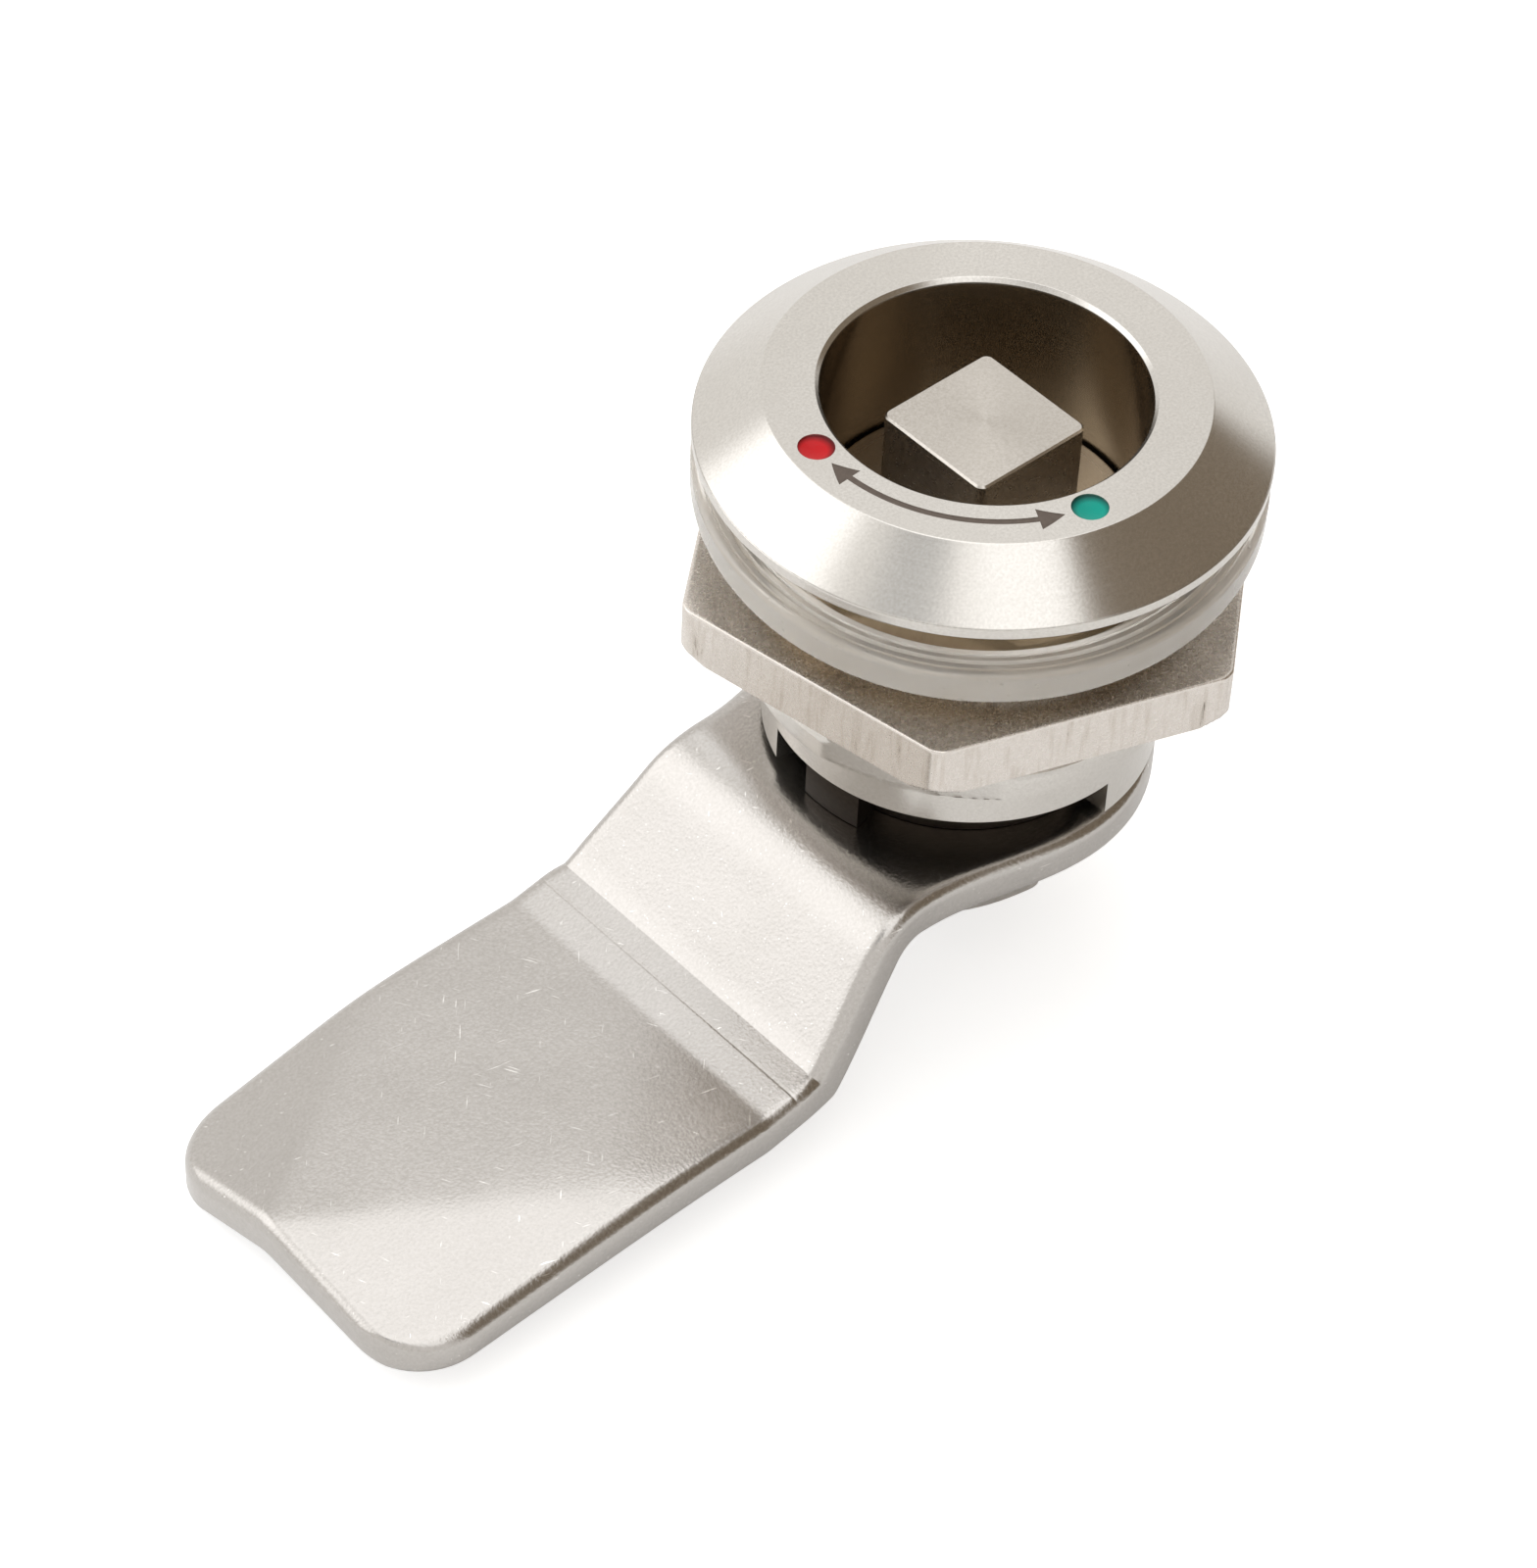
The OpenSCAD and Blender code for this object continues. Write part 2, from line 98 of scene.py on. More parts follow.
# %% [markdown]
# ## Surfaces from grids
# Every piece here is a grid of points: rows along a profile, columns round the axis or across a
# path. Neighbours are joined by quads. Where a grid meets itself, as at a seam or a pole, its
# points coincide, and merging them closes the surface. That keeps one way of building for all.

# %% Grid helpers
MERGE = 2e-8
COLUMNS = 361


def grid_faces(rows, columns):
    """Quads between neighbours in a grid that is stored row by row."""
    row, column = np.meshgrid(np.arange(rows - 1), np.arange(columns - 1), indexing="ij")
    first = (row * columns + column).ravel()
    return np.stack([first, first + 1, first + columns + 1, first + columns], axis=1)


def make_mesh(name, grids, sharp_deg=30):
    """One mesh from grids of points in millimetres. Coinciding points are merged, which closes
    seams and poles, and the faces of each closed shell are turned outwards."""
    points, faces, start = [], [], 0
    for grid in grids:
        points.append(grid.reshape(-1, 3))
        faces.append(grid_faces(*grid.shape[:2]) + start)
        start += len(points[-1])
    mesh = bpy.data.meshes.new(name)
    mesh.from_pydata(np.concatenate(points) * MM, [], np.concatenate(faces))
    shell = bmesh.new()
    shell.from_mesh(mesh)
    bmesh.ops.remove_doubles(shell, verts=shell.verts, dist=MERGE)
    bmesh.ops.recalc_face_normals(shell, faces=shell.faces)
    shell.to_mesh(mesh)
    shell.free()
    shade(mesh, sharp_deg)
    return mesh


def shade(mesh, sharp_deg):
    """Smooth shading, broken at every edge whose faces turn by more than sharp_deg."""
    mesh.polygons.foreach_set("use_smooth", np.ones(len(mesh.polygons), bool))
    mesh.set_sharp_from_angle(angle=math.radians(sharp_deg))


def around(columns=COLUMNS, start_deg=0.0, end_deg=360.0):
    """Angles of a grid's columns, in radians."""
    return np.radians(np.linspace(start_deg, end_deg, columns))


def ring_rows(rows, angles):
    """Rows of points round the axis: x = r cos a, y = r sin a. A row is a radius and a height, and
    either may be one number or one for each column."""
    r, z = (np.array([np.broadcast_to(row[i], len(angles)) for row in rows]) for i in (0, 1))
    return np.stack([r * np.cos(angles), r * np.sin(angles), z], axis=-1)


def rounded(corners, steps=5, support=0.05, closed=False):
    """Profile through (r, z, radius) corners. Each corner becomes an arc that touches both of its
    sides, and a point just outside either end of the arc keeps the flats beside it flat."""
    corners = np.array(corners, float)
    count = len(corners)
    found = []
    for i, (r, z, radius) in enumerate(corners):
        here = np.array([r, z])
        if radius == 0 or (not closed and i in (0, count - 1)):
            found.append(here[None])
            continue
        back = corners[i - 1, :2] - here
        ahead = corners[(i + 1) % count, :2] - here
        back /= np.linalg.norm(back)
        ahead /= np.linalg.norm(ahead)
        half = math.acos(np.clip(back @ ahead, -1, 1)) / 2
        reach = radius / math.tan(half)
        middle = here + (back + ahead) / np.linalg.norm(back + ahead) * radius / math.sin(half)
        first, last = here + back * reach - middle, here + ahead * reach - middle
        sweep = math.pi - 2 * half
        share = np.linspace(0, 1, steps + 1)[:, None]
        arc = (np.sin((1 - share) * sweep) * first + np.sin(share * sweep) * last) / math.sin(sweep)
        before = here + back * (reach + support)
        after = here + ahead * (reach + support)
        found.append(np.vstack([before, middle + arc, after]))
    if closed:
        found.append(found[0][:1])
    return np.concatenate(found)


def revolve(profile, angles=None):
    """A profile of (r, z) points carried round the axis."""
    return ring_rows(profile, around() if angles is None else angles)


def soft_min(a, b, blend):
    """The smaller of two values, with the corner between them rounded over about blend."""
    return -blend * np.logaddexp(-a / blend, -b / blend)


def flat_sided(angles, sides, flat_r, corner_r, turn_deg=0.0, blend=0.03):
    """Radius of a regular polygon with rounded corners: flat_r / cos(angle from the nearest
    flat's middle), held to corner_r."""
    step = 2 * math.pi / sides
    from_flat = (angles - math.radians(turn_deg)) % step - step / 2
    return soft_min(flat_r / np.cos(from_flat), corner_r, blend)


def add_piece(name, grids, material, sharp_deg=30):
    """Shows closed grids in place of the CAD node of the same name, on that node's body."""
    mesh = make_mesh(name, grids, sharp_deg)
    thing = bpy.data.objects.new(name + "_surface", mesh)
    bpy.context.scene.collection.objects.link(thing)
    mesh.materials.append(material)
    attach(thing, BODY_OF[name])
    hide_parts(name)
    print("%s: %d faces" % (name, len(mesh.polygons)))
    return thing


def carve(thing, grids, operation="DIFFERENCE", sharp_deg=30):
    """Cuts closed grids out of a piece, or joins them to it, for good."""
    tool = bpy.data.objects.new("tool", make_mesh("tool", grids))
    bpy.context.scene.collection.objects.link(tool)
    step = thing.modifiers.new("carve", "BOOLEAN")
    step.object = tool
    step.operation = operation
    step.solver = "EXACT"
    result = bpy.data.meshes.new_from_object(thing.evaluated_get(bpy.context.evaluated_depsgraph_get()))
    thing.modifiers.clear()
    thing.data = result
    shade(result, sharp_deg)
    bpy.data.objects.remove(tool)
    print("%s carved: %d faces" % (thing.name, len(result.polygons)))


# %% [markdown]
# ## Node helpers
# A material is a small tree of nodes. One function adds any node with its settings and its
# inputs, so a finish reads as a list of what it is made of. Colours are written as sRGB hex, as a
# paint chart has them, and turned to linear light in one place. Pattern sizes are written in
# millimetres, because Object coordinates are real lengths here.

# %% Node helpers


def linear(hex_colour):
    """Linear red, green, blue and alpha of an sRGB hex colour."""
    srgb = np.array([int(hex_colour[i : i + 2], 16) for i in (1, 3, 5)]) / 255
    rgb = np.where(srgb <= 0.04045, srgb / 12.92, ((srgb + 0.055) / 1.055) ** 2.4)
    return (*rgb.tolist(), 1.0)


def per(millimetres):
    """A texture's scale that makes its features about this long."""
    return 1 / (millimetres * MM)


def set_inputs(tree, node, inputs):
    """Gives a node's inputs their values, or links from a socket or from a node's first output."""
    for name, value in inputs.items():
        value = value.outputs[0] if isinstance(value, bpy.types.Node) else value
        if isinstance(value, bpy.types.NodeSocket):
            tree.links.new(value, node.inputs[name])
        else:
            node.inputs[name].default_value = value


def add_node(tree, kind, inputs=None, **settings):
    """Adds a node, sets its properties, and then its inputs."""
    node = tree.nodes.new(kind)
    for name, value in settings.items():
        setattr(node, name, value)
    set_inputs(tree, node, inputs or {})
    return node


def new_finish(name, **shader_values):
    """A material with one Principled shader, and its tree and shader."""
    material = bpy.data.materials.new(name)
    material.use_nodes = True
    tree = material.node_tree
    shader = tree.nodes["Principled BSDF"]
    for socket, value in shader_values.items():
        shader.inputs[socket.replace("_", " ")].default_value = value
    return material, tree, shader


def object_place(tree):
    """Object coordinates, which are real lengths on every piece."""
    return add_node(tree, "ShaderNodeTexCoord").outputs["Object"]


def tone(tree, factor, low, high):
    """A colour between two, by a factor from 0 to 1. Either is an sRGB hex colour, a linear colour
    or a socket."""
    low, high = (linear(colour) if isinstance(colour, str) else colour for colour in (low, high))
    return add_node(tree, "ShaderNodeMix", {0: factor, 6: low, 7: high}, data_type="RGBA").outputs[2]


# %% [markdown]
# ## Turned steel
# The housing is bar steel turned on a lathe. The tool leaves fine rings round the axis, so light
# spreads across the rings and not along them: the finish is anisotropic, and its long direction is
# turned a quarter from the tangent that runs round the axis. The rings themselves are a noise that
# depends only on the radius and the height, with a fine grain over them. Inside the key well and
# the stop ring, and in a band just under the head, the steel gets a darker colour of its own: this
# is painted shade, for the places that little light reaches.

# %% Turned steel
RING_WIDTH = 0.12
ROUGHNESS_SWING = 0.04
# Painted shade on the housing: inside this radius and below this height, and in this band under the head.
PAINTED_SHADE_R = WELL_R + 0.5
PAINTED_SHADE_TOP_Z = FACE_Z - 0.3
UNDER_HEAD_MIDDLE_Z = -2.6
UNDER_HEAD_HALF = 2.5


def turned_steel(name, colours, roughness, ring_depth, grain_depth, painted_shade_hex=None):
    """Steel with turning rings about the lock's axis, and a fine grain over them. With a shade colour
    given, all that lies inside the well, inside the stop ring or just under the head takes that
    colour as painted shade."""
    material, tree, shader = new_finish(name, Metallic=1.0, Anisotropic=0.7, Anisotropic_Rotation=0.25)
    place = object_place(tree)
    flat = add_node(tree, "ShaderNodeVectorMath", {0: place, 1: (1, 1, 0)}, operation="MULTIPLY")
    radius = add_node(tree, "ShaderNodeVectorMath", {0: flat}, operation="LENGTH")
    radius = radius.outputs["Value"]
    height = add_node(tree, "ShaderNodeSeparateXYZ", {0: place}).outputs["Z"]
    line = add_node(tree, "ShaderNodeCombineXYZ", {"X": radius, "Y": height, "Z": 0.0})
    rings = add_node(tree, "ShaderNodeTexNoise", {"Vector": line, "Scale": per(RING_WIDTH), "Detail": 3.0})
    grain = add_node(tree, "ShaderNodeTexNoise", {"Vector": place, "Scale": per(0.14), "Detail": 4.0})
    clouds = add_node(tree, "ShaderNodeTexNoise", {"Vector": place, "Scale": per(5.0), "Detail": 3.0})
    mottle = add_node(tree, "ShaderNodeMapRange", {"Value": grain, "From Min": 0.3, "From Max": 0.7})
    both = add_node(tree, "ShaderNodeMath", {0: clouds, 1: mottle}, operation="MULTIPLY")
    base = tone(tree, both, *colours)
    if painted_shade_hex:
        # Painted shade: the well, the stop ring's inside and the band under the head are darkened.
        inside = add_node(tree, "ShaderNodeMath", {0: radius, 1: PAINTED_SHADE_R * MM}, operation="LESS_THAN")
        below = add_node(tree, "ShaderNodeMath", {0: height, 1: PAINTED_SHADE_TOP_Z * MM}, operation="LESS_THAN")
        inside = add_node(tree, "ShaderNodeMath", {0: inside, 1: below}, operation="MULTIPLY")
        inputs = {0: height, 1: UNDER_HEAD_MIDDLE_Z * MM, 2: UNDER_HEAD_HALF * MM}
        under_head = add_node(tree, "ShaderNodeMath", inputs, operation="COMPARE")
        painted_shade = add_node(tree, "ShaderNodeMath", {0: inside, 1: under_head}, operation="MAXIMUM")
        base = tone(tree, painted_shade, base, painted_shade_hex)
    rough = {"Value": rings}
    rough.update({"To Min": roughness - ROUGHNESS_SWING, "To Max": roughness + ROUGHNESS_SWING})
    rough = add_node(tree, "ShaderNodeMapRange", rough)
    bump = add_node(tree, "ShaderNodeBump", {"Distance": ring_depth * MM, "Height": rings})
    finer = {"Distance": grain_depth * MM, "Height": grain, "Normal": bump}
    bump = add_node(tree, "ShaderNodeBump", finer)
    tangent = add_node(tree, "ShaderNodeTangent", direction_type="RADIAL", axis="Z")
    looks = {"Base Color": base, "Roughness": rough, "Normal": bump, "Tangent": tangent}
    set_inputs(tree, shader, looks)
    return material


# Its last colour is painted shade for the well, the stop ring and the band under the head.
housing_steel = turned_steel("turned bright steel", ("#ccc8c2", "#e2dfda"), 0.22, 0.0014, 0.001, "#9c8c75")
spindle_steel = turned_steel("satin ground steel", ("#bfb9b1", "#d8d3cc"), 0.26, 0.0008, 0.002)
print("turned steels made")

# %% [markdown]
# ## Nickel plate
# The cam, the washers and the nut are nickel plated. Plating follows the sheet or the casting
# under it, so the shine has a fine grain, and handling leaves short pale scratches. A casting adds
# dark pits on its upright sides. The grain is a noise some tenths of a millimetre long. The
# scratches are a stretched noise of which only the peaks are kept, once for each direction, and
# the pits are the deepest places of a coarser noise. The stop washer is coloured near-black
# instead, as painted shade for the dark gap that it sits in, and has the grain alone.

# %% Nickel plate
SCRATCH_WIDTH = 0.13
SCRATCH_STRETCH = 13.0
SWELL_WIDTH, SWELL_DEPTH = 5.0, 0.06
PIT_WIDTH, PIT_STRETCH = 0.4, 9.0
PLATE_SWING = 0.05


def nickel_plate(name, colours, roughness, grain, grain_depth, pit_depth, scratch_turns=(0.4, 2.1)):
    """Nickel over steel: a fine grain, short pale scratches in some directions, and dark pits
    where it is a casting."""
    material, tree, shader = new_finish(name, Metallic=1.0)
    place = object_place(tree)
    fine = add_node(tree, "ShaderNodeTexNoise", {"Vector": place, "Scale": per(grain), "Detail": 3.0})
    clouds = add_node(tree, "ShaderNodeTexNoise", {"Vector": place, "Scale": per(7.0), "Detail": 2.0})
    mottle = add_node(tree, "ShaderNodeMapRange", {"Value": fine, "From Min": 0.32, "From Max": 0.68})
    mottle = add_node(tree, "ShaderNodeMix", {0: 0.5, 2: clouds, 3: mottle})
    colour = tone(tree, mottle, *colours)
    for turn in scratch_turns:
        along = {"Vector": place, "Rotation": (0, 0, turn), "Scale": (1.0, SCRATCH_STRETCH, 1.0)}
        along = add_node(tree, "ShaderNodeMapping", along, vector_type="TEXTURE")
        lines = {"Vector": along, "Scale": per(SCRATCH_WIDTH), "Detail": 1.0}
        lines = add_node(tree, "ShaderNodeTexNoise", lines)
        mark = {"Value": lines, "From Min": 0.74, "From Max": 0.82, "To Max": 0.8}
        mark = add_node(tree, "ShaderNodeMapRange", mark)
        colour = tone(tree, mark, colour, "#f4f2ee")
    bump = add_node(tree, "ShaderNodeBump", {"Distance": grain_depth * MM, "Height": fine})
    swell = {"Vector": place, "Scale": per(SWELL_WIDTH), "Detail": 1.0}
    swell = add_node(tree, "ShaderNodeTexNoise", swell)
    broad = {"Distance": SWELL_DEPTH * MM, "Height": swell, "Normal": bump}
    bump = add_node(tree, "ShaderNodeBump", broad)
    if pit_depth:
        upright = {"Vector": place, "Scale": (1.0, 1.0, PIT_STRETCH)}
        upright = add_node(tree, "ShaderNodeMapping", upright, vector_type="TEXTURE")
        holes = {"Vector": upright, "Scale": per(PIT_WIDTH), "Detail": 3.0, "Roughness": 0.6}
        holes = add_node(tree, "ShaderNodeTexNoise", holes)
        facing = add_node(tree, "ShaderNodeTexCoord").outputs["Normal"]
        facing = add_node(tree, "ShaderNodeSeparateXYZ", {0: facing}).outputs["Z"]
        level = add_node(tree, "ShaderNodeMath", {0: facing}, operation="ABSOLUTE")
        holes = add_node(tree, "ShaderNodeMath", {0: holes, 1: level}, operation="ADD")
        streaks = add_node(tree, "ShaderNodeMapRange", {"Value": holes, "From Min": 0.32, "From Max": 0.5})
        colour = tone(tree, streaks, "#ccc4bb", colour)
        open_share = {"Value": holes, "From Min": 0.25, "From Max": 0.32}
        open_share = add_node(tree, "ShaderNodeMapRange", open_share)
        colour = tone(tree, open_share, "#857d74", colour)
        deeper = {"Distance": pit_depth * MM, "Height": open_share, "Normal": bump}
        bump = add_node(tree, "ShaderNodeBump", deeper)
    rough = {"Value": fine}
    rough.update({"To Min": roughness - PLATE_SWING, "To Max": roughness + PLATE_SWING})
    rough = add_node(tree, "ShaderNodeMapRange", rough)
    set_inputs(tree, shader, {"Base Color": colour, "Roughness": rough, "Normal": bump})
    return material


cam_turns = (0.5, 1.3, 2.4)
cam_tones = ("#b4b0ab", "#c6c2be")
nut_nickel = nickel_plate("nickel on cast steel", ("#d2cbc3", "#e2dcd6"), 0.27, 0.2, 0.002, 0.014)
cam_nickel = nickel_plate("nickel on pressed sheet", cam_tones, 0.23, 0.17, 0.013, 0.0, cam_turns)
small_nickel = nickel_plate("nickel on steel", ("#aca6a0", "#c8c3bd"), 0.30, 0.3, 0.015, 0.0)
# Painted shade: the stop washer is near-black for the shaded gap it sits in.
dark_steel = nickel_plate("steel darkened as painted shade", ("#2e2823", "#3d362f"), 0.45, 0.3, 0.006, 0.0, ())
print("nickel plates made")

# %% [markdown]
# ## Enamel, ink and rubber
# The two dots are drops of baked enamel that sank into their holes as they dried, so they are
# glossy and dished, and their rims are painted with shade. The arrow is matt ink wiped into its
# groove. The gasket is clear soft rubber, milky with age, with small bubbles in it. The ring in the
# bore is plain black rubber.

# %% Enamel, ink and rubber
# Painted shade at each dot's rim: where it begins and where it is full, and how far its middle is moved
# outwards.
RIM_SHADE_SPAN = (0.62, 0.95)
RIM_SHADE_SHIFT = 0.12
GRAIN_DEPTH = 0.01
BUBBLE_DEPTH = 0.03


def enamel(name, colour, rim_shade_colour, at_deg):
    """Glossy baked enamel: deep colour under a clear coat, and painted shade that darkens it towards
    the wall of its hole. The painted shade is wider on the inner side, where the wall shades it."""
    material, tree, shader = new_finish(name, Roughness=0.3, Specular_IOR_Level=0.12, Coat_Weight=0.12)
    place = object_place(tree)
    flow = add_node(tree, "ShaderNodeTexNoise", {"Vector": place, "Scale": per(0.6), "Detail": 2.0})
    turn = math.radians(at_deg)
    middle = Vector((math.cos(turn), math.sin(turn), 0)) * (MARK_R + RIM_SHADE_SHIFT)
    middle += Vector((0, 0, FACE_Z - 0.2))
    away = {0: place, 1: middle * MM}
    away = add_node(tree, "ShaderNodeVectorMath", away, operation="DISTANCE").outputs["Value"]
    # Painted shade: darker towards the hole's wall, more on the inner side.
    rim = {"Value": away, "From Min": RIM_SHADE_SPAN[0] * MM, "From Max": RIM_SHADE_SPAN[1] * MM}
    rim = add_node(tree, "ShaderNodeMapRange", rim)
    bump = add_node(tree, "ShaderNodeBump", {"Distance": GRAIN_DEPTH * MM, "Height": flow})
    set_inputs(tree, shader, {"Base Color": tone(tree, rim, colour, rim_shade_colour), "Normal": bump})
    return material


def matt_finish(name, roughness, grain, detail, colours):
    """A matt surface whose colour and height follow one grain: ink thin in places, or rubber."""
    material, tree, shader = new_finish(name, Roughness=roughness)
    grain = {"Vector": object_place(tree), "Scale": per(grain), "Detail": detail}
    grain = add_node(tree, "ShaderNodeTexNoise", grain)
    bump = add_node(tree, "ShaderNodeBump", {"Distance": GRAIN_DEPTH * MM, "Height": grain})
    set_inputs(tree, shader, {"Base Color": tone(tree, grain, *colours), "Normal": bump})
    return material


def milky_rubber(name, colours):
    """Clear soft rubber gone milky: light goes in and scatters, and small bubbles break it up."""
    material, tree, shader = new_finish(
        name,
        Roughness=0.18,
        IOR=1.38,
        Transmission_Weight=0.7,
        Subsurface_Weight=0.1,
        Subsurface_Radius=(1.0, 1.0, 1.0),
        Subsurface_Scale=0.0015,
    )
    place = object_place(tree)
    haze = add_node(tree, "ShaderNodeTexNoise", {"Vector": place, "Scale": per(2.5), "Detail": 3.0})
    cells = add_node(tree, "ShaderNodeTexVoronoi", {"Vector": place, "Scale": per(0.7), "Randomness": 1.0})
    bubbles = add_node(tree, "ShaderNodeMapRange", {"Value": cells, "From Min": 0.05, "From Max": 0.14})
    bump = add_node(tree, "ShaderNodeBump", {"Distance": BUBBLE_DEPTH * MM, "Height": bubbles})
    set_inputs(tree, shader, {"Base Color": tone(tree, haze, *colours), "Normal": bump})
    return material


# Each dot's second colour is painted shade at its rim.
red_enamel = enamel("red baked enamel", "#b81319", "#5c0509", TURN[0])
green_enamel = enamel("green baked enamel", "#009080", "#004740", TURN[1])
groove_ink = matt_finish("brown wiped ink", 0.65, 0.35, 4.0, ("#4a4038", "#63574e"))
gasket_rubber = milky_rubber("milky clear rubber", ("#f0ebe3", "#faf8f4"))
ring_rubber = matt_finish("moulded black rubber", 0.55, 0.2, 3.0, ("#141414", "#1f1e1d"))
print("enamels, ink and rubbers made")

# %% [markdown]
# ## The housing
# The housing is one turned piece, so it is one profile carried round the axis: up the bore, across
# the well's floor, up its wall, over the face, down the cone and under the head. Below the head
# the radius also depends on the angle: a screw thread of 1.5 mm pitch, cut off by two flats that
# keep the lock from turning in its hole. Each edge has the small break that a lathe hand leaves.

# %% Housing profile and thread
PITCH = 1.5
THREAD_DEPTH = 0.9
RUN_OUT = (-4.6, -12.6)
RUN_OUT_L = 0.6
END_SLOPE = 1.3
ROWS_PER_TURN = 10


def thread_share(phase):
    """How far a V thread stands at a phase of its turn, from 0 in its root to 1 on its crest. Both
    are a little flat: 2.5 |phase - 1/2| - 1/8, held between 0 and 1."""
    return np.clip(2.5 * np.abs(phase - 0.5) - 0.125, 0, 1)


def thread_radius(angles, z):
    """Barrel's radius: a V thread whose phase is frac(z / pitch + turn). It runs out below the head
    and above the end, is chamfered at the end, and is cut by the flats at flat_r / cos(angle)."""
    phase = (z / PITCH + angles / (2 * math.pi)) % 1.0
    fade = np.clip((RUN_OUT[0] - z) / RUN_OUT_L, 0, 1) * np.clip((z - RUN_OUT[1]) / RUN_OUT_L, 0, 1)
    thread = BARREL_R - 0.02 - THREAD_DEPTH * fade * (1 - thread_share(phase))
    chamfer = BAND_R + (z - THREAD_END_Z) * END_SLOPE
    from_flat = (angles - math.radians(TURN_MID) + math.pi / 2) % math.pi - math.pi / 2
    flat = FLAT_R / np.cos(from_flat)
    return soft_min(soft_min(thread, chamfer, 0.02), flat, 0.03)


def housing_rows(angles):
    """All rows of the housing, from the bore's lower end up, over the head and down again."""
    upper = rounded(
        [
            (SHAFT_R + 0.05, ROOF_Z, 0),
            (SHAFT_R + 0.05, SEAT_Z, 0.1),
            (WELL_R, SEAT_Z, 0.1),
            (WELL_R, FACE_Z - 0.2, 0.05),
            (WELL_R + 0.2, FACE_Z, 0.05),
            (FACE_R, FACE_Z, 0.12),
            (HEAD_R - 0.08, RIM_H, 0.1),
            (HEAD_R, RIM_H - 0.09, 0.08),
            (HEAD_R, 0, 0.12),
            (BARREL_R + 0.3, 0, 0),
        ]
    )
    turns = -THREAD_END_Z / PITCH
    levels = np.linspace(0, THREAD_END_Z, int(turns * ROWS_PER_TURN))
    barrel = [(thread_radius(angles, z), z) for z in levels]
    band_top = (BAND_R, THREAD_END_Z - 0.1, 0)
    band = rounded([band_top, (BAND_R, ROOF_Z, 0.08), (SHAFT_R + 0.05, ROOF_Z, 0)])
    return ring_rows([*upper, *barrel, *band], angles)


housing = add_piece("housing", [housing_rows(around(385))], housing_steel)

# %% [markdown]
# ## The stop ring and the marks
# Under its plain end the housing has a ring with a gap, in which the stop washer's tab swings. It
# is a small section carried along an arc, closed at both ends, and joined to the housing. Then the
# two dots and the arrow are cut into the face, as an engraver would, so that they have real walls.

# %% Stop ring and engraved marks
STOP_WALL = 1.6
DOT_R = 0.9
DOT_DEPTH = 0.35
ARROW_DEPTH = 0.12
ARROW_FROM_DOT = 8.0
ARROW_HEAD = (1.3, 1.4)
ARROW_W = 0.34
CUT_PAST = 0.3


def closed_sweep(rings):
    """A section carried along a path, with both ends closed: each end row shrinks to its middle."""
    first = np.broadcast_to(rings[0].mean(axis=0), rings[0].shape)
    last = np.broadcast_to(rings[-1].mean(axis=0), rings[-1].shape)
    return np.concatenate([first[None], rings, last[None]])


def stop_ring():
    """Section of the stop ring, from one end of its gap round to the other."""
    low, high = STOP_END_Z, ROOF_Z + 0.1
    outer, inner = BAND_R - 0.02, BAND_R - STOP_WALL
    corners = [(inner, high, 0), (inner, low, 0.06), (outer, low, 0.06), (outer, high, 0)]
    section = rounded(corners, closed=True)
    angles = around(240, SLOT[1], SLOT[0] + 360)
    return closed_sweep(np.swapaxes(revolve(section, angles), 0, 1))


def dot_hole(angle_deg, low, high, radius=DOT_R, dish=0.0):
    """A round plug on the mark's circle, with its top dished by a parabola."""
    share = np.array([0, 0.25, 0.5, 0.75, 0.92, 1.0])
    tops = high - dish * (1 - share**2)
    radii = np.concatenate([share * radius, [radius, 0]])
    heights = np.concatenate([tops, [low, low]])
    plug = revolve(np.stack([radii, heights], axis=1), around(65))
    middle = MARK_R * np.array([math.cos(math.radians(angle_deg)), math.sin(math.radians(angle_deg)), 0])
    return plug + middle


def arrow_bar(low, high):
    """The curved arrow: a four-cornered section carried along the mark's circle. Its width grows
    from nothing at a tip to the head's width, drops to the line's width, and mirrors that."""
    head_deg = math.degrees(ARROW_HEAD[0] / MARK_R)
    start, end = TURN[0] + ARROW_FROM_DOT, TURN[1] - ARROW_FROM_DOT
    head_in = np.linspace(0, 1, 9)
    line = np.linspace(start + head_deg, end - head_deg, 70)
    places = np.concatenate([start + head_deg * head_in, line, end - head_deg * (1 - head_in)])
    widths = np.concatenate([ARROW_HEAD[1] * head_in, np.full(70, ARROW_W), ARROW_HEAD[1] * (1 - head_in)])
    across = np.array([-0.5, 0.5, 0.5, -0.5, -0.5])
    levels = np.array([high, high, low, low, high])
    r = MARK_R + widths[:, None] * across
    a = np.radians(places)[:, None]
    z = np.broadcast_to(levels, r.shape)
    return np.stack([r * np.cos(a), r * np.sin(a), z], axis=-1)


carve(housing, [stop_ring()], "UNION")
for turn in TURN:
    carve(housing, [dot_hole(turn, FACE_Z - DOT_DEPTH, FACE_Z + CUT_PAST)])
carve(housing, [arrow_bar(FACE_Z - ARROW_DEPTH, FACE_Z + CUT_PAST)])

# %% [markdown]
# ## Enamel dots and the arrow's ink
# What fills the cuts is separate, because it is another material. Enamel shrinks as it dries and
# clings to the wall of its hole, so each dot is a plug whose top is dished. The ink lies just
# under the face.

